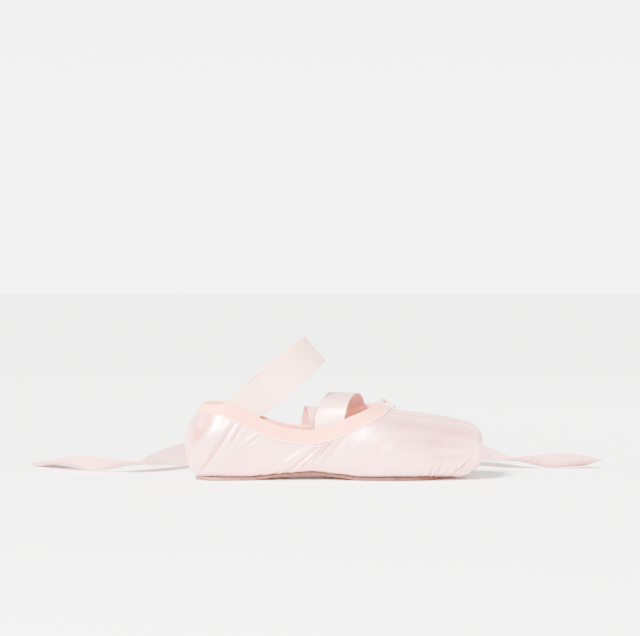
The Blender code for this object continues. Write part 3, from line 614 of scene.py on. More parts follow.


# Creases, in millimetres from the back of the heel and up from the floor
# kind, depth, half breadth, then the points that it runs through
# trough: a soft hollow; ridge: a soft crown; fold: a crown with a sharp hollow on its lower right side
# shade: painted shade in colour alone, its depth a share of the painted pink shade or of the dark colour

creases = dict(
    near=[
        ("fold", 1.6, 3.0, [(10, 6), (16, 15), (25, 28), (32, 38), (38, 46)]),
        ("ridge", 1.0, 4.5, [(6, 18), (14, 28), (23, 37), (31, 43)]),
        ("trough", 1.3, 5.5, [(4, 30), (10, 39), (16, 47), (22, 54)]),
        ("fold", 1.15, 2.2, [(33, 27), (37, 34), (41, 41), (46, 47)]),
        ("fold", 1.0, 2.0, [(44, 26), (50, 31), (56, 35), (61, 38)]),
        ("trough", 0.4, 6.0, [(28, 5), (43, 15), (60, 27)]),
        ("ridge", 0.8, 2.4, [(58, 2), (70, 9), (82, 17), (97, 28)]),
        ("fold", 1.2, 2.1, [(66, 1), (76, 7), (87, 15), (100, 26)]),
        ("fold", 0.85, 1.6, [(77, 1), (83, 6), (89, 11), (96, 18)]),
        ("trough", 0.8, 2.6, [(103, 10), (109, 18), (116, 27), (123, 35)]),
        ("ridge", 0.35, 3.4, [(112, 6), (122, 17), (133, 29), (143, 38)]),
        ("trough", 0.35, 4.0, [(124, 5), (138, 17), (153, 30), (166, 42)]),
        ("fold", 1.15, 1.5, [(197, 1), (204, 5), (212, 11), (221, 19)]),
        ("fold", 1.15, 1.25, [(208, 2), (214, 4), (220, 8), (226, 14)]),
        ("trough", 0.70, 1.2, [(184, 1), (188, 6), (191, 14)]),
        ("trough", 0.70, 1.1, [(190, 1), (194, 8), (199, 17)]),
        ("trough", 0.60, 1.0, [(178, 1), (181, 6), (183, 12)]),
        ("trough", 0.50, 1.0, [(171, 1), (173, 5), (174, 10)]),
    ],
    far=[
        ("fold", 1.4, 3.0, [(11, 6), (17, 15), (25, 27), (32, 38), (38, 46)]),
        ("ridge", 0.9, 4.3, [(7, 20), (15, 29), (24, 37), (32, 43)]),
        ("trough", 1.1, 5.0, [(5, 32), (11, 40), (18, 49)]),
        ("fold", 1.0, 2.2, [(36, 27), (41, 33), (47, 39), (53, 43)]),
        ("trough", 0.4, 5.5, [(30, 6), (45, 17), (62, 29)]),
        ("ridge", 0.7, 2.6, [(60, 3), (72, 11), (84, 20), (96, 29)]),
        ("fold", 1.1, 2.1, [(68, 1), (78, 8), (89, 17), (100, 27)]),
        ("fold", 0.7, 1.7, [(79, 2), (86, 8), (93, 15)]),
        ("trough", 0.7, 2.6, [(105, 9), (112, 18), (120, 28)]),
        ("trough", 0.35, 4.0, [(122, 8), (136, 20), (150, 34)]),
        ("fold", 1.0, 1.5, [(199, 1), (205, 6), (213, 12), (222, 20)]),
        ("fold", 1.0, 1.25, [(210, 2), (216, 5), (222, 10)]),
        ("trough", 0.60, 1.2, [(185, 1), (189, 6), (193, 13)]),
        ("trough", 0.55, 1.1, [(177, 1), (180, 6), (183, 12)]),
    ],
)
# painted shade in colour alone: pink zones where shade falls on the satin, on both sides
paintedShadeZones = dict(
    near=[
        ("shade", 0.55, 7.5, [(5, 33), (9, 39), (13, 45), (17, 52)]),
        ("shade", 0.35, 3.0, [(9, 12), (16, 19), (24, 29), (31, 38)]),
        ("shade", 0.55, 4.2, [(100, 21), (106, 27), (112, 33), (120, 40)]),
        ("shade", 0.75, 3.4, [(90, 12), (95, 19), (101, 28), (106, 36)]),
        ("shade", 0.30, 5.0, [(150, 27), (168, 27), (186, 25), (203, 22)]),
        ("shade", 0.30, 4.0, [(206, 6), (212, 9), (218, 13), (224, 19)]),
    ],
    far=[
        ("shade", 0.55, 7.0, [(5, 33), (9, 39), (13, 45), (17, 52)]),
        ("shade", 0.50, 4.2, [(100, 21), (106, 27), (112, 33), (120, 40)]),
        ("shade", 0.75, 3.4, [(90, 12), (95, 19), (101, 28), (106, 36)]),
        ("shade", 0.30, 4.0, [(206, 6), (212, 9), (218, 13), (224, 19)]),
    ],
)
# painted shade in colour alone: dark lines in folds at the heel, the collar and the toe, and along the wing's
# step beside the stitch patch
paintedShadeLines = dict(
    near=[
        ("shade", 0.70, 0.50, [(95, 12), (99, 17), (103, 23), (107, 29)]),
        ("shade", 0.50, 0.55, [(35, 29), (39, 35), (43, 41)]),
        ("shade", 0.45, 0.55, [(12, 8), (17, 15), (23, 23)]),
        ("shade", 0.50, 0.55, [(198, 1), (205, 5), (213, 11), (222, 19)]),
        ("shade", 0.50, 0.50, [(209, 2), (215, 4), (221, 8), (227, 14)]),
    ],
    far=[
        ("shade", 0.70, 0.50, [(95, 12), (99, 17), (103, 23), (107, 29)]),
    ],
)
sides = (("near", -1), ("far", 1))
streaks = dict(depth=0.72, across=(-1.04, -0.80, -0.54, -0.25, 0.05, 0.33, 0.58, 0.82, 1.05), breadth=0.060,
               spread=0.012, drift=0.05, start=(0.60, 0.74), end=(0.955, 0.99), rise=(0.010, 0.018))
pleatLook = dict(depth=1.0, breadth=0.044, start=(0.80, 0.84), bend=0.05,
                 headings=(-83, -72, -60, -49, -37, -27, -15, -5, 7, 17, 29, 38, 51, 60, 73, 82))
clothLook = dict(wave=0.00010)
# each needle line has a depth, a place past the edge and a breadth
wingLook = dict(blend=0.0003, piping=0.00070, pipingBreadth=0.00062,
                needles=((0.00040, -0.0016, 0.00050), (0.00035, 0.0014, 0.00055)))
heelSeam = dict(line=0.00042, welt=0.00016, weltAt=0.0012, weltBreadth=0.0007, foot=0.0075, pinch=0.0011,
                pinchBreadth=0.0012, gather=0.0005, gatherAt=0.0030, gatherBreadth=0.0013)


def creaseRelief(points, kind, depth, breadth, line):
    # each point takes the bell of its distance from the nearest spot of the line, faded at both ends
    reach = 3.2 * breadth
    lowest, highest = line.min(axis=0) - reach, line.max(axis=0) + reach
    close = np.all((points > lowest) & (points < highest), axis=-1)
    relief = np.zeros(points.shape[:-1])
    spots = points[close]
    if not len(spots):
        return relief
    gaps = spots[:, None, :] - line[None, :, :]
    nearest = np.linalg.norm(gaps, axis=-1).argmin(axis=1)
    way = unit(np.gradient(line, axis=0))[nearest]
    gap = gaps[np.arange(len(spots)), nearest]
    along = (gap * way).sum(-1)
    off = np.sqrt(np.maximum((gap ** 2).sum(-1) - along ** 2, 0))
    share = nearest / (len(line) - 1)
    taper = np.sin(math.pi * (0.06 + 0.88 * share)) ** 0.8 * bell(along, breadth)
    if kind == "trough":
        shape = -bell(off, breadth) + 0.30 * bell(off - 1.7 * breadth, 0.8 * breadth)
    elif kind == "ridge":
        shape = bell(off, breadth) - 0.25 * bell(off - 1.8 * breadth, 0.8 * breadth)
    elif kind == "shade":
        shape = bell(off, breadth)
    else:
        across = np.sign(gap[:, 2] * way[:, 0] - gap[:, 0] * way[:, 2]) * off
        crown = 0.75 * bell(across - 0.7 * breadth, 0.75 * breadth)
        shape = crown - bell(across + 0.35 * breadth, 0.42 * breadth)
    relief[close] = depth * taper * shape
    return relief


def drawnOn(points, table):  # sum of a table's lines on both sides, in the table's own unit
    total = np.zeros(points.shape[:-1])
    for name, sign in sides:
        for kind, depth, breadth, path in table[name]:
            line = through(np.array(path, float) @ np.array([[1, 0, 0], [0, 0, 1]]) / 1000, 40)
            ahead = np.maximum(line[:, 0], tableValue(heelBack, line[:, 2]) + 0.0002)
            line[:, 1] = sign * halfWidth(ahead, line[:, 2])
            total += creaseRelief(points, kind, depth, breadth / 1000, line)
    return total


def softRelief(points):  # the folds, and a slow unevenness of cloth over its stiffening
    x, y, z = np.moveaxis(points, -1, 0)
    wave = np.sin(140 * x + 90 * z + 1.1) * np.sin(120 * z - 60 * x + 40 * y)
    wave += 0.6 * np.sin(260 * x - 210 * z + 2.0) * np.sin(180 * y + 150 * z)
    return drawnOn(points, creases) / 1000 + clothLook["wave"] * wave


def boxStreaks(points):  # long shallow hollows over the box, bells of the way round it that drift as they run
    x, y, z = np.moveaxis(points, -1, 0)
    wide = np.arctan2(y, np.maximum(z - 0.3 * last["throatHeight"], 1e-4)) / (0.5 * math.pi)
    start, end = np.array(streaks["start"]) * long, np.array(streaks["end"]) * long
    hold = fade(x, *start) * (1 - fade(x, *end)) * fade(z - low(x), *streaks["rise"])
    total = np.zeros(x.shape)
    for k, place in enumerate(streaks["across"]):
        away = wide - place - streaks["drift"] * np.sin(34 * x + 1.7 * k)
        breadth = streaks["breadth"] + streaks["spread"] * (k % 3)
        total -= bell(away, breadth) * (0.75 + 0.25 * math.cos(2.1 * k))
    return streaks["depth"] / 1000 * hold * total


def pleats(points):  # gathers that fan out from the front of the sole, each a crown and a narrow hollow
    x, y, z = np.moveaxis(points, -1, 0)
    heading = np.arctan2(y, x - coreFront)
    beyond = np.hypot(x - coreFront, y) - soleReach(np.full(x.shape, coreFront), np.abs(heading), 0.0)
    start, wide = np.array(pleatLook["start"]) * long, pleatLook["breadth"]
    hold = fade(beyond, 0.2 * last["tuckLap"], 0.7 * last["tuckLap"]) * fade(x, *start)
    total = np.zeros(x.shape)
    for k, degrees in enumerate(pleatLook["headings"]):
        bend = pleatLook["bend"] * np.sin(1.3 * k) * fade(z, 0, 0.4 * last["platformTop"])
        away = heading - math.radians(degrees) - bend
        reach = last["platformTop"] * (0.34 + 0.14 * math.sin(2.4 * k + 0.5))
        size = (0.75 + 0.25 * math.cos(1.9 * k)) * hold * (1 - fade(z, 0.15 * reach, reach))
        total += size * (0.6 * bell(away - 0.8 * wide, 1.1 * wide) - bell(away + 0.3 * wide, 0.42 * wide))
    return pleatLook["depth"] / 1000 * total


def wingHold(x):  # the wing's edge runs out past the throat
    return 1 - fade(x, collarLength - 0.6 * last["wingBlend"], collarLength + 0.6 * last["wingBlend"])


def wingStepOnly(points):  # the step alone, under the binding
    x, z = points[..., 0], points[..., 2]
    return wingHold(x) * last["wingStep"] * fade(pastWing(x, z), -wingLook["blend"], wingLook["blend"])


def wingEdge(points):  # step of the wing with a cord of piping along it and a needle line on each side
    x, y, z = np.moveaxis(points, -1, 0)
    past = pastWing(x, z) * math.cos(last["wingSlant"])
    total = last["wingStep"] * fade(past, -wingLook["blend"], wingLook["blend"])
    total += wingLook["piping"] * bell(past + wingLook["blend"], wingLook["pipingBreadth"])
    for depth, place, breadth in wingLook["needles"]:
        total -= depth * bell(past - place, breadth)
    return total * wingHold(x) * fade(z - low(x), 0.5 * last["tuckLap"], 1.2 * last["tuckLap"])


def backSeam(points):  # needle line down the middle of the heel, with a pinch at its foot
    x, y, z = np.moveaxis(points, -1, 0)
    off = np.abs(y)
    seam = heelSeam["welt"] * bell(off - heelSeam["weltAt"], heelSeam["weltBreadth"])
    seam -= heelSeam["line"] * bell(off, heelSeam["line"])
    pinch = heelSeam["gather"] * bell(off - heelSeam["gatherAt"], heelSeam["gatherBreadth"])
    pinch -= heelSeam["pinch"] * bell(off, heelSeam["pinchBreadth"])
    return (1 - fade(x, 0.08 * long, 0.11 * long)) * (seam + pinch * bell(z - heelSeam["foot"], 0.0045))


# painted shade: full at these depths of fold and streak hollows, with a strip of painted shadow below the
# binding
paintedShadeLook = dict(foldDepth=0.0012, streakDepth=0.0009, strip=0.45, stripReach=(0.008, 0.016),
                stripStart=(0.055, 0.075), stripEnd=(0.105, 0.12))
# sizes of the dark needle lines and of painted shade by the wing's step, in the heel's pinch and in gathers
seamAndPaintedShadeLook = dict(ahead=0.0012, breadth=0.00042, more=0.00040, upward=(0.014, 0.028), behind=0.0013,
                behindBreadth=0.00038, heelBreadth=0.00034, footBreadth=0.0010, footReach=0.0035,
                gatherDepth=0.0009, darkest=0.85)


def paintedPinkShade(points, soft, box, toEdge, openCollar):
    # painted shade: how pink the satin is coloured, in hollows of folds and streaks, in drawn zones, and in a
    # strip of painted shadow below the binding
    x = points[..., 0]
    hollow = np.clip(-soft / paintedShadeLook["foldDepth"] - np.minimum(box, 0) / paintedShadeLook["streakDepth"], 0, 1)
    strip = paintedShadeLook["strip"] * (1 - fade(toEdge, *paintedShadeLook["stripReach"])) * openCollar[:, None]
    strip = strip * fade(x, *paintedShadeLook["stripStart"]) * (1 - fade(x, *paintedShadeLook["stripEnd"]))
    return np.clip(hollow + drawnOn(points, paintedShadeZones) + strip, 0, 1)


def seamAndPaintedShade(points):  # how dark the needle lines look, widened near the top of the wing as painted shade of its step, with painted shade in the heel seam's pinch, at the bottoms of gathers and along the painted shade lines
    x, y, z = np.moveaxis(points, -1, 0)
    past = pastWing(x, z) * math.cos(last["wingSlant"])
    upward = fade(z, *seamAndPaintedShadeLook["upward"])
    breadth = seamAndPaintedShadeLook["breadth"] + seamAndPaintedShadeLook["more"] * upward
    wing = bell(past - seamAndPaintedShadeLook["ahead"], breadth) * (0.45 + 0.75 * upward)
    wing = np.maximum(wing, 0.4 * bell(past + seamAndPaintedShadeLook["behind"], seamAndPaintedShadeLook["behindBreadth"]))
    wing = wing * (z > low(x) + 0.004) * (x < 0.66 * long)
    foot = bell(y, seamAndPaintedShadeLook["footBreadth"]) * bell(z - heelSeam["foot"], seamAndPaintedShadeLook["footReach"])
    heel = (x < 0.1 * long) * (0.55 * bell(y, seamAndPaintedShadeLook["heelBreadth"]) + 0.8 * foot)
    gathers = 0.6 * np.clip(-pleats(points) / seamAndPaintedShadeLook["gatherDepth"], 0, 1)
    return np.clip(0.8 * wing + heel + gathers + drawnOn(points, paintedShadeLines), 0, seamAndPaintedShadeLook["darkest"])


# The upper

upperLook = dict(heelColumns=34, quarterColumns=62, edgeColumns=32, throatColumns=44, boxColumns=22,
                 toeColumns=84, edgeReach=0.0045, rows=110, innerRows=20, calm=(0.002, 0.011), turnOver=0.01)
onMiddle = 1e-5


def upperColumns():
    # where each column stands on the core line and which way it looks, closer at the edge and throat
    heelTurn = np.linspace(0, 1, upperLook["heelColumns"], endpoint=False) ** 1.35
    heelTurn = math.pi - (math.pi / 2) * heelTurn
    toeTurn = np.linspace(math.pi / 2, 0, upperLook["toeColumns"] + 1)
    start, end = wingBase - upperLook["edgeReach"], wingBase + upperLook["edgeReach"]
    quarter = np.linspace(coreBack, start, upperLook["quarterColumns"], endpoint=False)
    edge = np.linspace(start, end, upperLook["edgeColumns"], endpoint=False)
    throat = end + (collarLength - end) * (1 - np.linspace(1, 0, upperLook["throatColumns"]) ** 1.6)
    box = np.linspace(collarLength, coreFront, upperLook["boxColumns"])[1:-1]
    side = np.concatenate([quarter, edge, throat, box])
    place = np.concatenate([np.full(len(heelTurn), coreBack), side, np.full(len(toeTurn), coreFront)])
    heading = np.concatenate([heelTurn, np.full(len(side), math.pi / 2), toeTurn])
    return place, heading


def evenRows(path, count, turnWeight=0.008):
    # shares of each column that space its rows evenly, closer where it turns
    steps = np.diff(path, axis=1)
    lengths = np.linalg.norm(steps, axis=-1)
    ways = unit(steps)
    turns = np.arccos(np.clip((ways[:, 1:] * ways[:, :-1]).sum(-1), -1, 1))
    lengths[:, 1:] += turnWeight * turns
    measure = np.concatenate([np.zeros((len(path), 1)), np.cumsum(lengths, axis=1)], axis=1)
    shares = np.linspace(0, 1, path.shape[1])
    return np.array([np.interp(np.linspace(0, 1, count) * row[-1], row, shares) for row in measure])


def halfSheet(place, heading, count):  # half of the last between the turned-in edge and the collar or crest
    place, heading = place[:, None], heading[:, None]
    start, end = lowerTilt(place, heading), upperTilt(place, heading)

    def sheet(share):
        tilt = start + (end - start) * share
        return strike(place, np.broadcast_to(heading, tilt.shape), tilt)

    fine = np.broadcast_to(np.linspace(0, 1, 50), (len(place), 50))
    return sheet(evenRows(sheet(fine), count))


def around(half):  # the half shoe's columns, then their mirror images back to the heel
    flip = np.array([1, -1, 1]) if half.shape[-1] == 3 else np.ones(half.shape[-1])
    return np.concatenate([half, half[-2:0:-1] * flip])


def makeUpper():
    # each column runs up the outside and down the inside, a wall apart; the relief lifts both along
    # the normal, and ahead of the throat both halves meet on the crest
    rows = upperLook["rows"]
    place, heading = upperColumns()
    half = halfSheet(place, heading, rows)
    halfNormal = outward(half)
    half[np.abs(half[..., 1]) < onMiddle, 1] = 0
    halfNormal[half[..., 1] == 0, 1] = 0
    outer, normal = around(half), around(unit(halfNormal))
    measure = lengthAcross(outer)
    toEdge = measure[:, -1:] - measure
    openCollar = around((place < collarLength - 1e-6)[:, None].astype(float))[:, 0] > 0.5
    calm = np.where(openCollar[:, None], fade(toEdge, *upperLook["calm"]), 1)
    soft = calm * softRelief(outer)
    box = boxStreaks(outer) + pleats(outer)
    lift = soft + box + calm * (wingEdge(outer) + backSeam(outer)) + (1 - calm) * wingStepOnly(outer)
    lift[:, 0] = np.minimum(lift[:, 0], 0)
    pick = np.round(np.linspace(rows - 1, 0, upperLook["innerRows"])).astype(int)
    inner = outer[:, pick] + (soft[:, pick] - wallAt(outer[:, pick]))[..., None] * normal[:, pick]
    ring = np.concatenate([outer + lift[..., None] * normal, inner], axis=1)
    ring[np.abs(ring[..., 1]) < onMiddle, 1] = 0
    along = np.concatenate([measure, measure[:, -1:] + upperLook["turnOver"] + toEdge[:, pick]], axis=1)
    uv = np.stack([ring[..., 0], along], -1)
    count = ring.shape[1]
    quads = gridQuads(len(ring), count, closedRows=True, closedCount=True)
    kept = (openCollar | np.roll(openCollar, -1))[:, None] | (np.arange(count) != rows - 1)
    inside = (np.arange(count) >= rows - 1) & (np.arange(count) < count - 1)
    slots = np.broadcast_to(inside.astype(int), kept.shape)
    blank = np.zeros(inner.shape[:2])
    # relief carries painted pink shade onto the satin; seam carries dark needle lines and painted shade
    marks = dict(relief=np.concatenate([paintedPinkShade(outer, soft, box, toEdge, openCollar), blank], axis=1),
                 seam=np.concatenate([seamAndPaintedShade(outer), blank], axis=1))
    made = putMesh("upperSatin", ring, quads[kept].tolist(), uv, [satinCloth, liningCloth],
                   slots=slots[kept], marks=marks, node="upper", slot="satin")
    print("upper:", len(made.data.polygons), "faces")


makeUpper()


# Thread work

stitchShape = dict(rings=5, sides=6, ends=0.12, flat=0.8, sunk=0.6)
# corners of the near patch in millimetres: its top and foot behind, then its foot and top ahead
patchLook = dict(corners=[(100.0, 33.0), (89.3, 17.2), (95.2, 13.6), (106.0, 29.6)], rows=4, spacing=0.0026,
                 length=0.0017, radius=0.00042, above=0.00002)
wingRow = dict(bottom=0.0085, top=0.0335, ahead=0.0015, spacing=0.0021, length=0.0014, radius=0.00014,
               above=0.00006)


def makeStitches(name, spots, ways, normals, look, thread, slot):
    # each stitch is a short bead: rings along it shrink towards both ends, and it sinks a little
    rings, count = stitchShape["rings"], stitchShape["sides"]
    turn = np.linspace(0, 2 * math.pi, count, endpoint=False)
    bow = np.linspace(stitchShape["ends"] * math.pi, (1 - stitchShape["ends"]) * math.pi, rings)
    side = np.cross(ways, normals)
    ring = np.cos(turn)[:, None, None] * side + stitchShape["flat"] * np.sin(turn)[:, None, None] * normals
    bow3 = bow[None, :, None, None]
    points = (spots[:, None, None] - 0.5 * look["length"] * np.cos(bow3) * ways[:, None, None]
              + look["radius"] * np.sin(bow3) ** 0.6 * np.moveaxis(ring, 1, 0)[:, None]
              - stitchShape["sunk"] * look["radius"] * np.cos(bow3) ** 4 * normals[:, None, None])
    step = np.arange(len(spots))[:, None, None] * rings * count
    quads = gridQuads(rings, count, closedCount=True).reshape(-1, 4)
    caps = np.stack([np.arange(count), (rings - 1) * count + np.arange(count)])
    faces = (quads + step).reshape(-1, 4).tolist() + (caps + step).reshape(-1, count).tolist()
    uv = np.stack(np.meshgrid(bow * look["length"] / 3, turn * look["radius"], indexing="ij"), -1)
    putMesh(name, points, faces, np.broadcast_to(uv, (len(spots), *uv.shape)), [thread], slot=slot)


def spaced(line, normal, spacing):  # spots a stitch apart along a line, with its way and normal at each
    measure = lengthAlong(line)
    count = max(2, int(measure[-1] / spacing))
    at = (np.arange(count) + 0.5) * measure[-1] / count

    def read(values):
        return np.stack([np.interp(at, measure, values[:, k]) for k in range(3)], -1)

    return read(line), unit(read(unit(np.gradient(line, axis=0)))), unit(read(normal))


def onSatin(flat, sign, above):  # points over the outside of the quarter at given x and z, with their normals
    line = np.stack([flat[:, 0], sign * halfWidth(flat[:, 0], flat[:, 1]), flat[:, 1]], -1)
    normal = outward(line)
    return line + (softRelief(line) + wingEdge(line) + above)[:, None] * normal, normal


def makePatches():  # rows of stitches that hold each ribbon's end inside the quarter
    topBack, footBack, footAhead, topAhead = np.array(patchLook["corners"]) / 1000
    for name, sign in sides:
        rows = []
        for k in range(patchLook["rows"]):
            share = k / (patchLook["rows"] - 1)
            top = topBack + share * (topAhead - topBack)
            foot = footBack + share * (footAhead - footBack)
            inset = 0.5 * patchLook["spacing"] * (k % 2) * unit(foot - top)
            line, normal = onSatin(np.linspace(top + inset, foot + inset, 40), sign, patchLook["above"])
            rows.append(spaced(line, normal, patchLook["spacing"]))
        parts = [np.concatenate(part) for part in zip(*rows)]
        makeStitches(f"patchStitches_{name}", *parts, patchLook, seamThread, "satin")


def makeWingStitches():  # a row of fine stitches just ahead of the wing's piping
    z = np.linspace(wingRow["bottom"], wingRow["top"], 60)
    x = wingBase + (z - seat) * wingTilt + wingRow["ahead"] / math.cos(last["wingSlant"])
    for name, sign in sides:
        line, normal = onSatin(np.stack([x, z], -1), sign, wingRow["above"])
        parts = spaced(line, normal, wingRow["spacing"])
        makeStitches(f"wingStitches_{name}", *parts, wingRow, pipeThread, "satin")


makePatches()
makeWingStitches()
print("stitches done")


# Binding round the collar, with its stitched lower edge

bindingLook = dict(stations=300, heelShare=0.76, widening=(0.02, 0.055), pucker=0.00009, outside=0.00158,
                   inside=0.00125, under=0.00003, stitchHeight=0.00060, stitchReach=0.845, spacing=0.0027,
                   length=0.0017, radius=0.00017)
# reach down from the edge as a share of the width, height off the cloth, part (0 tape, 1 paler piped edge)
bindingOutside = [
    (1.000, 0.00002, 1), (1.012, 0.00040, 1), (1.000, 0.00078, 1), (0.965, 0.00102, 1), (0.925, 0.00098, 1),
    (0.893, 0.00072, 1), (0.868, 0.00056, 0), (0.845, 0.00052, 0), (0.820, 0.00062, 0), (0.780, 0.00080, 0),
    (0.70, 0.00088, 0), (0.60, 0.00090, 0), (0.48, 0.00094, 0), (0.36, 0.00106, 0), (0.25, 0.00124, 0),
    (0.16, 0.00142, 0), (0.08, 0.00155, 0),
]
# reach down from the edge in metres and height off the lining, then the same on the way back up beneath
bindingInside = [
    (0.0015, 0.00118), (0.0030, 0.00105), (0.0048, 0.00098), (0.0060, 0.00090), (0.0067, 0.00060),
    (0.0069, 0.00003), (0.0040, 0.00003), (0.0004, 0.00003),
]


def collarEdge(count, fine=60):  # the collar from the heel to the throat along the near side, evenly spaced
    back = np.linspace(coreBack, 0.9 * collarLength, fine, endpoint=False)
    front = collarLength - 0.1 * collarLength * np.linspace(1, 0, fine) ** 2
    turned = np.linspace(math.pi, math.pi / 2, fine, endpoint=False)
    place = np.concatenate([np.full(fine, coreBack), back, front])
    heading = np.concatenate([turned, np.full(2 * fine, math.pi / 2)])
    edge = strike(place, heading, upperTilt(place, heading))
    edge[[0, -1], 1] = 0
    measure = lengthAlong(edge)
    wanted = np.linspace(0, measure[-1], count)
    return np.stack([np.interp(wanted, measure, edge[:, k]) for k in range(3)], axis=-1)


def makeBinding():
    # a folded tape carried along the collar: up the outside by its table, round the edge, down inside
    edge = ontoLast(collarEdge(bindingLook["stations"] // 2 + 1))
    tangent = np.gradient(edge, axis=0)
    tangent[[0, -1]] = (0, -1, 0), (0, 1, 0)
    normal = outward(edge)
    down = unit(np.cross(unit(tangent), normal))
    measure = lengthAlong(edge)
    narrow = bindingLook["heelShare"]
    wide = last["bindingWidth"] * (narrow + (1 - narrow) * fade(edge[:, 0], *bindingLook["widening"]))
    pucker = np.sin(measure / 0.0027 * 2 * math.pi) + 0.6 * np.sin(measure / 0.0071 * 2 * math.pi + 1)
    pucker = bindingLook["pucker"] * pucker

    def outsideAt(share, height):
        foot = ontoLast(edge + (share * wide)[:, None] * down)
        return foot + (wingStepOnly(foot) + height)[:, None] * outward(foot)

    def insideAt(reach, height):
        foot = ontoLast(edge + reach * down)
        return foot - (wallAt(foot) + height)[:, None] * outward(foot)

    columns = [outsideAt(share, height + pucker * bell(share - 0.72, 0.2))
               for share, height, part in bindingOutside]
    outside = wingStepOnly(edge) + bindingLook["outside"]
    inside = wallAt(edge) + bindingLook["inside"]
    uneven = 1 + 0.04 * np.sin(measure / 0.0055 * 2 * math.pi)
    for turn in np.linspace(0, math.pi, 11):
        out = (outside - inside) / 2 + (outside + inside) / 2 * math.cos(turn)
        rise = 0.92 * (outside + inside) / 2 * math.sin(turn) * uneven
        columns.append(edge + out[:, None] * normal - rise[:, None] * down)
    columns += [insideAt(reach, height) for reach, height in bindingInside]
    columns += [outsideAt(share, bindingLook["under"]) for share in (0.04, 0.5)]
    half = np.stack(columns, axis=1)
    half[[0, -1], :, 1] = 0
    full = around(half)
    mile = np.concatenate([measure, 2 * measure[-1] - measure[-2:0:-1]])
    uv = np.stack(np.broadcast_arrays(mile[:, None], lengthAcross(full)), -1)
    quads = gridQuads(len(full), full.shape[1], closedRows=True, closedCount=True)
    parts = [row[2] for row in bindingOutside] + [0] * (len(columns) - len(bindingOutside))
    slots = np.broadcast_to(np.array(parts), quads.shape[:2])
    putMesh("collarBinding", full, quads.reshape(-1, 4).tolist(), uv, [tapeCloth, pipedTape],
            slots=slots.ravel(), node="binding", slot="tape")
    foot = ontoLast(edge + (bindingLook["stitchReach"] * wide)[:, None] * down)
    line = foot + (wingStepOnly(foot) + bindingLook["stitchHeight"])[:, None] * outward(foot)
    line[[0, -1], 1] = 0
    for name, sign in sides:
        flip = np.array([1, -sign, 1])
        stitches = spaced(line * flip, outward(foot) * flip, bindingLook["spacing"])
        makeStitches(f"bindingStitches_{name}", *stitches, bindingLook, pipeThread, "tape")


makeBinding()
print("binding done")


# Outsole and insole

soleLook = dict(stations=240, across=26, corner=0.0006)
insoleLook = dict(heelStations=40, sideStations=109, toeStations=50, corner=0.0005, cup=0.0004)


def section(across, height):
    return np.stack(np.broadcast_arrays(across, height), -1)


def softPlate(name, x, half, bottom, thick, corner, cup, material, **places):
    # a section at each station runs over the underside, round the edge and back over the top;
    # cup sinks the middle of the top
    half = half.copy()
    half[[0, -1]] = 0
    spread = np.sin(np.linspace(-math.pi / 2, math.pi / 2, soleLook["across"]))
    inner = np.maximum(half - corner, 0)[:, None]
    bend = (corner * np.minimum(half / corner, 1))[:, None]
    arc = np.linspace(0, math.pi / 2, 5)[1:]
    under = section(inner * spread, 0.0)
    lower = section(inner + bend * np.sin(arc), corner * (1 - np.cos(arc)))
    upper = section(inner + bend * np.cos(arc), thick - corner + corner * np.sin(arc))
    top = section(-inner * spread, thick)
    flip = np.array([-1, 1])
    parts = [under, lower, upper, top[:, 1:-1], (upper * flip)[:, ::-1], (lower * flip)[:, ::-1]]
    ring = np.concatenate(parts, axis=1)
    tapered = corner + (thick - 2 * corner) * (ring[..., 1] / thick)
    sunk = cup * (1 - np.minimum(np.abs(ring[..., 0]) / np.maximum(half[:, None], 1e-6), 1) ** 4)
    height = np.where(half[:, None] > 0, ring[..., 1], tapered) + bottom[:, None]
    height = height - sunk * (ring[..., 1] > 0.5 * thick)
    points = np.stack([np.broadcast_to(x[:, None], height.shape), ring[..., 0], height], -1)
    edge = np.zeros(height.shape)
    edge[:, len(spread):len(spread) + 2 * len(arc)] = 1
    edge[:, -2 * len(arc):] = 1
    edge[[0, 1, -2, -1]] = 1
    quads = gridQuads(len(x), points.shape[1], closedCount=True).reshape(-1, 4).tolist()
    putMesh(name, points, quads, points[..., :2], [material], marks=dict(relief=edge), **places)


def makeOutsole():  # stations along the sole, closer at both ends
    turn = np.linspace(0, math.pi, soleLook["stations"])
    x = soleBack + (soleFront - soleBack) * (1 - np.cos(turn)) / 2
    softPlate("outsoleLeather", x, soleHalf(x, 0.0), arch(x), last["soleThickness"], soleLook["corner"], 0.0,
              leatherCloth, node="outsole", slot="leather")


def makeInsole():  # the inside of the wall at the board's height, less a clearance
    heel, side, toe = insoleLook["heelStations"], insoleLook["sideStations"], insoleLook["toeStations"]
    heelTurn = np.linspace(math.pi, math.pi / 2, heel, endpoint=False)
    toeTurn = np.linspace(math.pi / 2, 0, toe)
    straight = np.linspace(coreBack, coreFront, side, endpoint=False)
    place = np.concatenate([np.full(heel, coreBack), straight, np.full(toe, coreFront)])
    heading = np.concatenate([heelTurn, np.full(side, math.pi / 2), toeTurn])
    outside = halfSheet(place, heading, 40)
    inside = outside - wallAt(outside)[..., None] * outward(outside)
    rest = last["tuckWall"] + 3 * last["gap"]
    height = inside[..., 2] - low(inside[..., 0])
    reach = np.hypot(inside[..., 0] - place[:, None], inside[..., 1]) - 10 * last["gap"]
    reach = np.array([np.interp(rest, rise, out) for rise, out in zip(height, reach)])
    x = place + reach * np.cos(heading)
    softPlate("insoleSock", x, reach * np.sin(heading), low(x) + rest, last["insoleThickness"],
              insoleLook["corner"], insoleLook["cup"], sockCloth, node="insole", slot="sock")


makeOutsole()
makeInsole()
print("outsole and insole done")


# Bands: the elastic and the ribbons

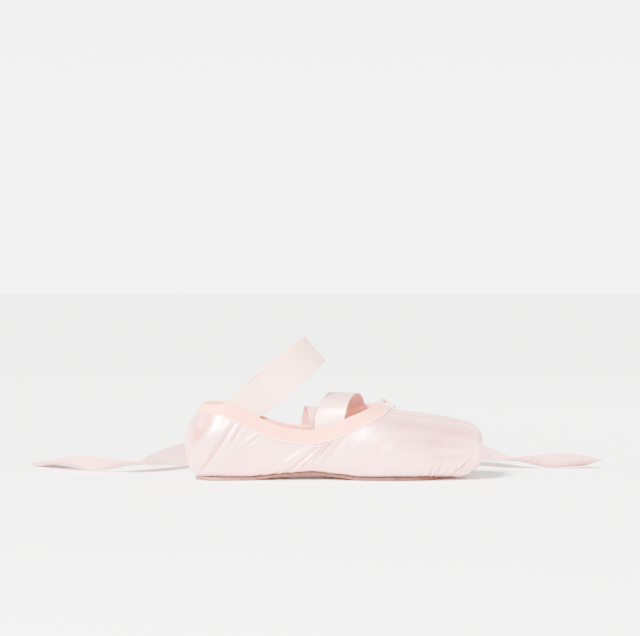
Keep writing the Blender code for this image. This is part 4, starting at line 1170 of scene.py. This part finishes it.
strapLook = dict(width=0.025, thickness=0.0012, reach=0.082, spread=0.058, slope=math.radians(40), body=0.9,
                 cup=0.00035, pull=0.00022, free=(0.012, 0.03))
strapStitches = dict(rows=(-0.006, 0.004), count=14, across=0.44, zigzag=0.0006, slant=0.4, sunk=0.00062,
                     length=0.0017, radius=0.00016)
ribbonLie = dict(width=0.022, thickness=0.0008, body=0.75, points=300, free=(0.10, 0.15), buckle=0.00038)
floorClearance = 0.00015


def squared(centres, across):  # across made square to the line, and the way that the flat face looks
    tangent = unit(np.gradient(centres, axis=0))
    across = unit(across - (across * tangent).sum(-1, keepdims=True) * tangent)
    return across, np.cross(tangent, across)


def carryBand(name, centres, across, width, thickness, look, ripple, sections, **places):
    # a flat strip: its width follows across and its thickness the cross of the line and across,
    # with thicker borders, and ripple lifts each spot off its face
    across, face = squared(centres, across)
    share = np.sin(np.linspace(-math.pi / 2, math.pi / 2, sections))
    measure = lengthAlong(centres)
    lift = ripple(measure[:, None], share[None, :])
    thick = thickness * (0.5 + 0.14 * bell(np.abs(share) - 0.955, 0.03) - 0.30 * (np.abs(share) > 0.995))
    sheets = []
    for sign in (1, -1):
        rise = (lift + sign * thick)[:, ::sign]
        rows = share[::sign, None] * across[:, None]
        sheets.append(centres[:, None] + 0.5 * width * rows + rise[..., None] * face[:, None])
    ring = np.concatenate(sheets, axis=1)
    rows = np.concatenate([share, 2.2 - share[::-1]]) * width / 2
    uv = np.stack(np.broadcast_arrays(measure[:, None], rows), -1)
    ring[..., 2] = np.maximum(ring[..., 2], floorClearance)
    return putMesh(name, ring, capped(len(centres), ring.shape[1]), uv, [look], **places)


def strapFrame():  # where the elastic starts inside the collar, the way that it leans and the way across it
    x = 0.25 * collarLength
    start = np.array([x, 0, tableValue(topline, x) - 0.12 * last["heelHeight"]])
    turn = strapLook["slope"]
    return start, np.array([math.cos(turn), 0, math.sin(turn)]), np.array([-math.sin(turn), 0, math.cos(turn)])


def strapCentres():
    # straight legs that spread once they are clear of the collar, then a half ellipse over the foot's place
    start, slope, stand = strapFrame()
    full, wide = strapLook["reach"], strapLook["width"]
    clear = 0.6 * wide
    straight = np.linspace(-0.3 * wide, 0.48 * full, 9)
    held = start + straight[straight < clear, None, None] * slope
    held = held + np.linspace(-0.5, 0.5, 5)[:, None] * wide * stand
    held = held[held[..., 2] < tableValue(topline, held[..., 0]) + last["bindingThickness"] + 2 * last["gap"]]
    inside = last["quarterWall"] + 3 * last["gap"] + last["bindingThickness"] + strapLook["thickness"] / 2
    seatHalf = halfWidth(held[:, 0], held[:, 2]).min() - 1.25 * inside
    fine = np.linspace(-0.3 * wide, 0.48 * full, 46)
    turn = np.linspace(0, math.pi / 2, 46)[1:]
    reach = np.concatenate([fine, fine[-1] + (full - fine[-1]) * np.sin(turn)])
    spread = seatHalf + (strapLook["spread"] / 2 - seatHalf) * fade(fine, clear, fine[-1])
    half = np.concatenate([spread, strapLook["spread"] / 2 * np.cos(turn)])
    half[-1] = 0
    near = start + reach[:, None] * slope + half[:, None] * (0, -1, 0)
    return np.concatenate([near, near[-2::-1] * (1, -1, 1)])


def makeStrap():
    centres = strapCentres()
    start, slope, stand = strapFrame()

    def ripple(measure, share):  # a slight cup across and slow uneven pull along
        free = fade(measure, *strapLook["free"]) * fade(measure[-1] - measure, *strapLook["free"])
        pull = strapLook["pull"] * np.sin(measure / 0.021) * share
        return free * (strapLook["cup"] * (share ** 2 - 0.4) + pull)

    carryBand("elasticLoop", centres, np.broadcast_to(stand, centres.shape), strapLook["width"],
              strapLook["thickness"] * strapLook["body"], elasticCloth, ripple, 17, node="ankle_strap",
              slot="elastic")
    count = strapStitches["count"]
    swing = np.where(np.arange(count) % 2, 1, -1)[:, None] * slope
    across = strapStitches["across"] * np.linspace(-1, 1, count)[:, None] * strapLook["width"] * stand
    spots, ways, normals = [], [], []
    for sign in (-1, 1):  # a zigzag row of stitches across each sewn-down end
        for row in strapStitches["rows"]:
            foot = start + row * slope + strapStitches["zigzag"] * swing + across
            foot[:, 1] = sign * (abs(centres[0, 1]) - strapStitches["sunk"])
            spots.append(foot)
            ways.append(unit(stand + strapStitches["slant"] * swing))
            normals.append(np.broadcast_to((0.0, -sign, 0.0), foot.shape))
    makeStitches("elasticStitches", np.concatenate(spots), np.concatenate(ways), np.concatenate(normals),
                 strapStitches, pipeThread, "elastic")


makeStrap()
print("elastic done")


# place and height of the lower edge in shares of length, ball width and throat height,
# then the heading of the width and how far it stands on edge, in degrees
nearRoute = [
    (0.4783, -0.2936, 0.3478, 0, 0), (0.4796, -0.2974, 0.5043, -1, 0), (0.4817, -0.3000, 0.6609, -3, 0),
    (0.4861, -0.2897, 0.8261, -8, 0), (0.4978, -0.2372, 0.9913, -15, 0), (0.5152, -0.1090, 1.1061, -19, 0),
    (0.5370, 0.0769, 1.1478, -20, 0), (0.5565, 0.2628, 1.1043, -19, 0), (0.5717, 0.4192, 0.9826, -16, 0),
    (0.5804, 0.5128, 0.7913, -11, 0), (0.5848, 0.5513, 0.5391, -8, 0), (0.5870, 0.5769, 0.2783, -6, 0),
    (0.5891, 0.6410, 0.0957, -6, 0), (0.5930, 0.7821, 0.0174, -8, 0), (0.6065, 1.0128, 0.0209, -16, -8),
    (0.6391, 1.2372, 0.0609, -33, -24), (0.6957, 1.4231, 0.0609, -52, -44), (0.7783, 1.5449, 0.0139, -73, -60),
    (0.8739, 1.5833, 0.0139, -92, -66), (0.9696, 1.5256, 0.0139, -112, -58),
    (1.0522, 1.3718, 0.0522, -130, -34),
    (1.1174, 1.1667, 0.0870, -135, -8), (1.1870, 0.9744, 0.0522, -124, 18), (1.2739, 0.8590, 0.0139, -100, 34),
    (1.3652, 0.8718, 0.0139, -75, 30), (1.4478, 0.9936, 0.0139, -63, 16),
]
farRoute = [
    (0.4783, 0.2885, 0.3478, 0, 0), (0.4783, 0.2910, 0.5043, 0, 0), (0.4761, 0.2910, 0.6609, 0, 0),
    (0.4717, 0.3103, 0.8209, 2, 0), (0.4652, 0.3782, 0.9130, 5, 0), (0.4565, 0.4423, 0.8957, 8, 0),
    (0.4478, 0.4808, 0.7478, 9, 0), (0.4435, 0.5000, 0.5217, 9, 0), (0.4391, 0.5192, 0.2783, 9, 0),
    (0.4304, 0.5833, 0.0870, 11, 0), (0.4152, 0.7308, 0.0174, 15, 0), (0.3848, 0.9936, 0.0209, 27, 8),
    (0.3217, 1.2436, 0.0696, 48, 26), (0.2283, 1.4103, 0.0609, 71, 46), (0.1174, 1.4487, 0.0139, 97, 60),
    (0.0130, 1.3269, 0.0139, 125, 56), (-0.0609, 1.0897, 0.0522, 138, 30), (-0.1304, 0.8590, 0.0870, 130, 4),
    (-0.2130, 0.7051, 0.0522, 103, -20), (-0.3109, 0.7179, 0.0139, 72, -36), (-0.3870, 0.8974, 0.0139, 42, -30),
    (-0.4304, 1.1410, 0.0174, 26, -16), (-0.4674, 1.3846, 0.0348, 32, 0), (-0.5261, 1.6026, 0.0174, 42, 6),
]


def makeRibbon(name, route, node, wave):
    # the lower edge's route is raised to the middle of the strip, drawn finer and carried as a band
    line = through(np.array(route, float) * (long, last["ballWidth"], last["throatHeight"], 1, 1), 50)
    heading, tilt = np.radians(line[:, 3]), np.radians(line[:, 4])
    across = np.stack([np.cos(heading) * np.cos(tilt), np.sin(heading) * np.cos(tilt), np.sin(tilt)], -1)
    centres = line[:, :3].copy()
    across, face = squared(centres, across)
    centres[:, 2] += np.abs(across[:, 2]) * ribbonLie["width"] / 2
    centres[:, 2] += np.abs(face[:, 2]) * ribbonLie["thickness"] / 2
    fine = through(np.concatenate([centres, across], axis=1), ribbonLie["points"])

    def ripple(measure, share):  # soft buckles that grow towards the edges once the ribbon is free of the shoe
        buckle = np.sin(measure / 0.0135 + wave) * share
        buckle = buckle + 0.6 * np.sin(measure / 0.0083 + 2 * wave) * share ** 2
        return ribbonLie["buckle"] * fade(measure, *ribbonLie["free"]) * buckle

    made = carryBand(name, fine[:, :3], fine[:, 3:], ribbonLie["width"],
                     ribbonLie["thickness"] * ribbonLie["body"], ribbonCloth, ripple, 19, node=node,
                     slot="satin")


makeRibbon("ribbonNear", nearRoute, "ribbon_near", 0.4)
makeRibbon("ribbonFar", farRoute, "ribbon_far", 1.7)


# Drawstring knot and its two ends

knotLook = dict(size=0.0045, shape=(1.15, 1.0, 0.78), cord=0.0016, loopCord=0.42, endCord=0.46, start=0.38,
                sunk=0.0005)
cordLook = dict(strands=3, lay=0.0042, lobe=0.13, sides=18, up=(0.13, 0.31, 0.94))
# routes of the ends from the knot: ahead, across and over the satin, in knot sizes
stringEnds = dict(
    left=[(0.00, 0.00, 1.00), (0.50, 0.45, 0.98), (1.05, 0.80, 0.78), (1.75, 1.05, 0.45), (2.40, 1.50, 0.20)],
    right=[(0.00, 0.00, 1.00), (0.40, -0.50, 1.02), (0.80, -1.05, 0.92), (1.30, -1.65, 0.68),
           (1.80, -2.30, 0.50)],
)


def carryCord(name, line, radius, node, closed=False):
    # twisted cord: a lobed round section that turns as it goes, on a frame carried along the line
    tangent = unit(np.roll(line, -1, 0) - np.roll(line, 1, 0)) if closed else unit(np.gradient(line, axis=0))
    side = unit(np.cross(tangent, cordLook["up"]))
    lift = np.cross(side, tangent)
    measure = lengthAlong(line)
    count = cordLook["sides"]
    turn = np.linspace(0, 2 * math.pi, count, endpoint=False)
    twist = turn[None] - measure[:, None] / cordLook["lay"] * 2 * math.pi
    size = radius * (1 + cordLook["lobe"] * np.abs(np.cos(cordLook["strands"] / 2 * twist))) / 1.1
    points = line[:, None] + (size * np.cos(turn))[..., None] * side[:, None]
    points += (size * np.sin(turn))[..., None] * lift[:, None]
    ring = gridQuads(len(line), count, closedRows=True, closedCount=True).reshape(-1, 4).tolist()
    uv = np.stack(np.broadcast_arrays(measure[:, None], turn * radius), -1)
    putMesh(name, points, ring if closed else capped(len(line), count), uv, [goldCord], node=node, slot="cord")


def knotPlace():
    throat = np.array([[collarLength + 0.25 * last["bindingWidth"], 0.0, 2 * last["throatHeight"]]])
    throat = ontoLast(throat)
    proud = 2 * last["gap"] + last["wingStep"] + last["bindingThickness"] + 0.42 * knotLook["size"]
    return (throat + proud * outward(throat))[0]


def makeKnot():
    # a closed trefoil, squashed to the size of the bead that it stands for and turned to lie on the satin
    turn = np.linspace(0, 2 * math.pi, 90, endpoint=False)
    ahead, across = np.sin(turn) + 2 * np.sin(2 * turn), np.cos(turn) - 2 * np.cos(2 * turn)
    loop = np.stack([ahead, across, -np.sin(3 * turn)], -1)
    radius = knotLook["loopCord"] * knotLook["cord"]
    loop = loop / np.abs(loop).max(axis=0) * (0.5 * knotLook["size"] - radius) * np.array(knotLook["shape"])
    knot = knotPlace()
    stand = outward(knot[None])[0]
    ahead = unit(np.cross((0.0, 1.0, 0.0), stand))
    loop = loop @ np.stack([ahead, (0.0, 1.0, 0.0), stand]) - knotLook["sunk"] * stand
    carryCord("drawstringKnot", knot + loop, radius, "drawstring_knot", closed=True)
    for side, rows in stringEnds.items():
        ahead, across, over = through(np.array(rows), 60).T * knotLook["size"]
        foot = ontoLast(np.stack([knot[0] + ahead, across, np.full(len(ahead), last["throatHeight"])], -1))
        line = foot + over[:, None] * outward(foot)
        line += knot - line[0]
        away = np.linalg.norm((line - knot) / knotLook["shape"], axis=1)
        line = line[np.argmax(away > knotLook["start"] * knotLook["size"]):]
        radius = knotLook["endCord"] * knotLook["cord"]
        carryCord(f"drawstringEnd_{side}", line, radius, f"drawstring_end_{side}")


makeKnot()
print("knot done")
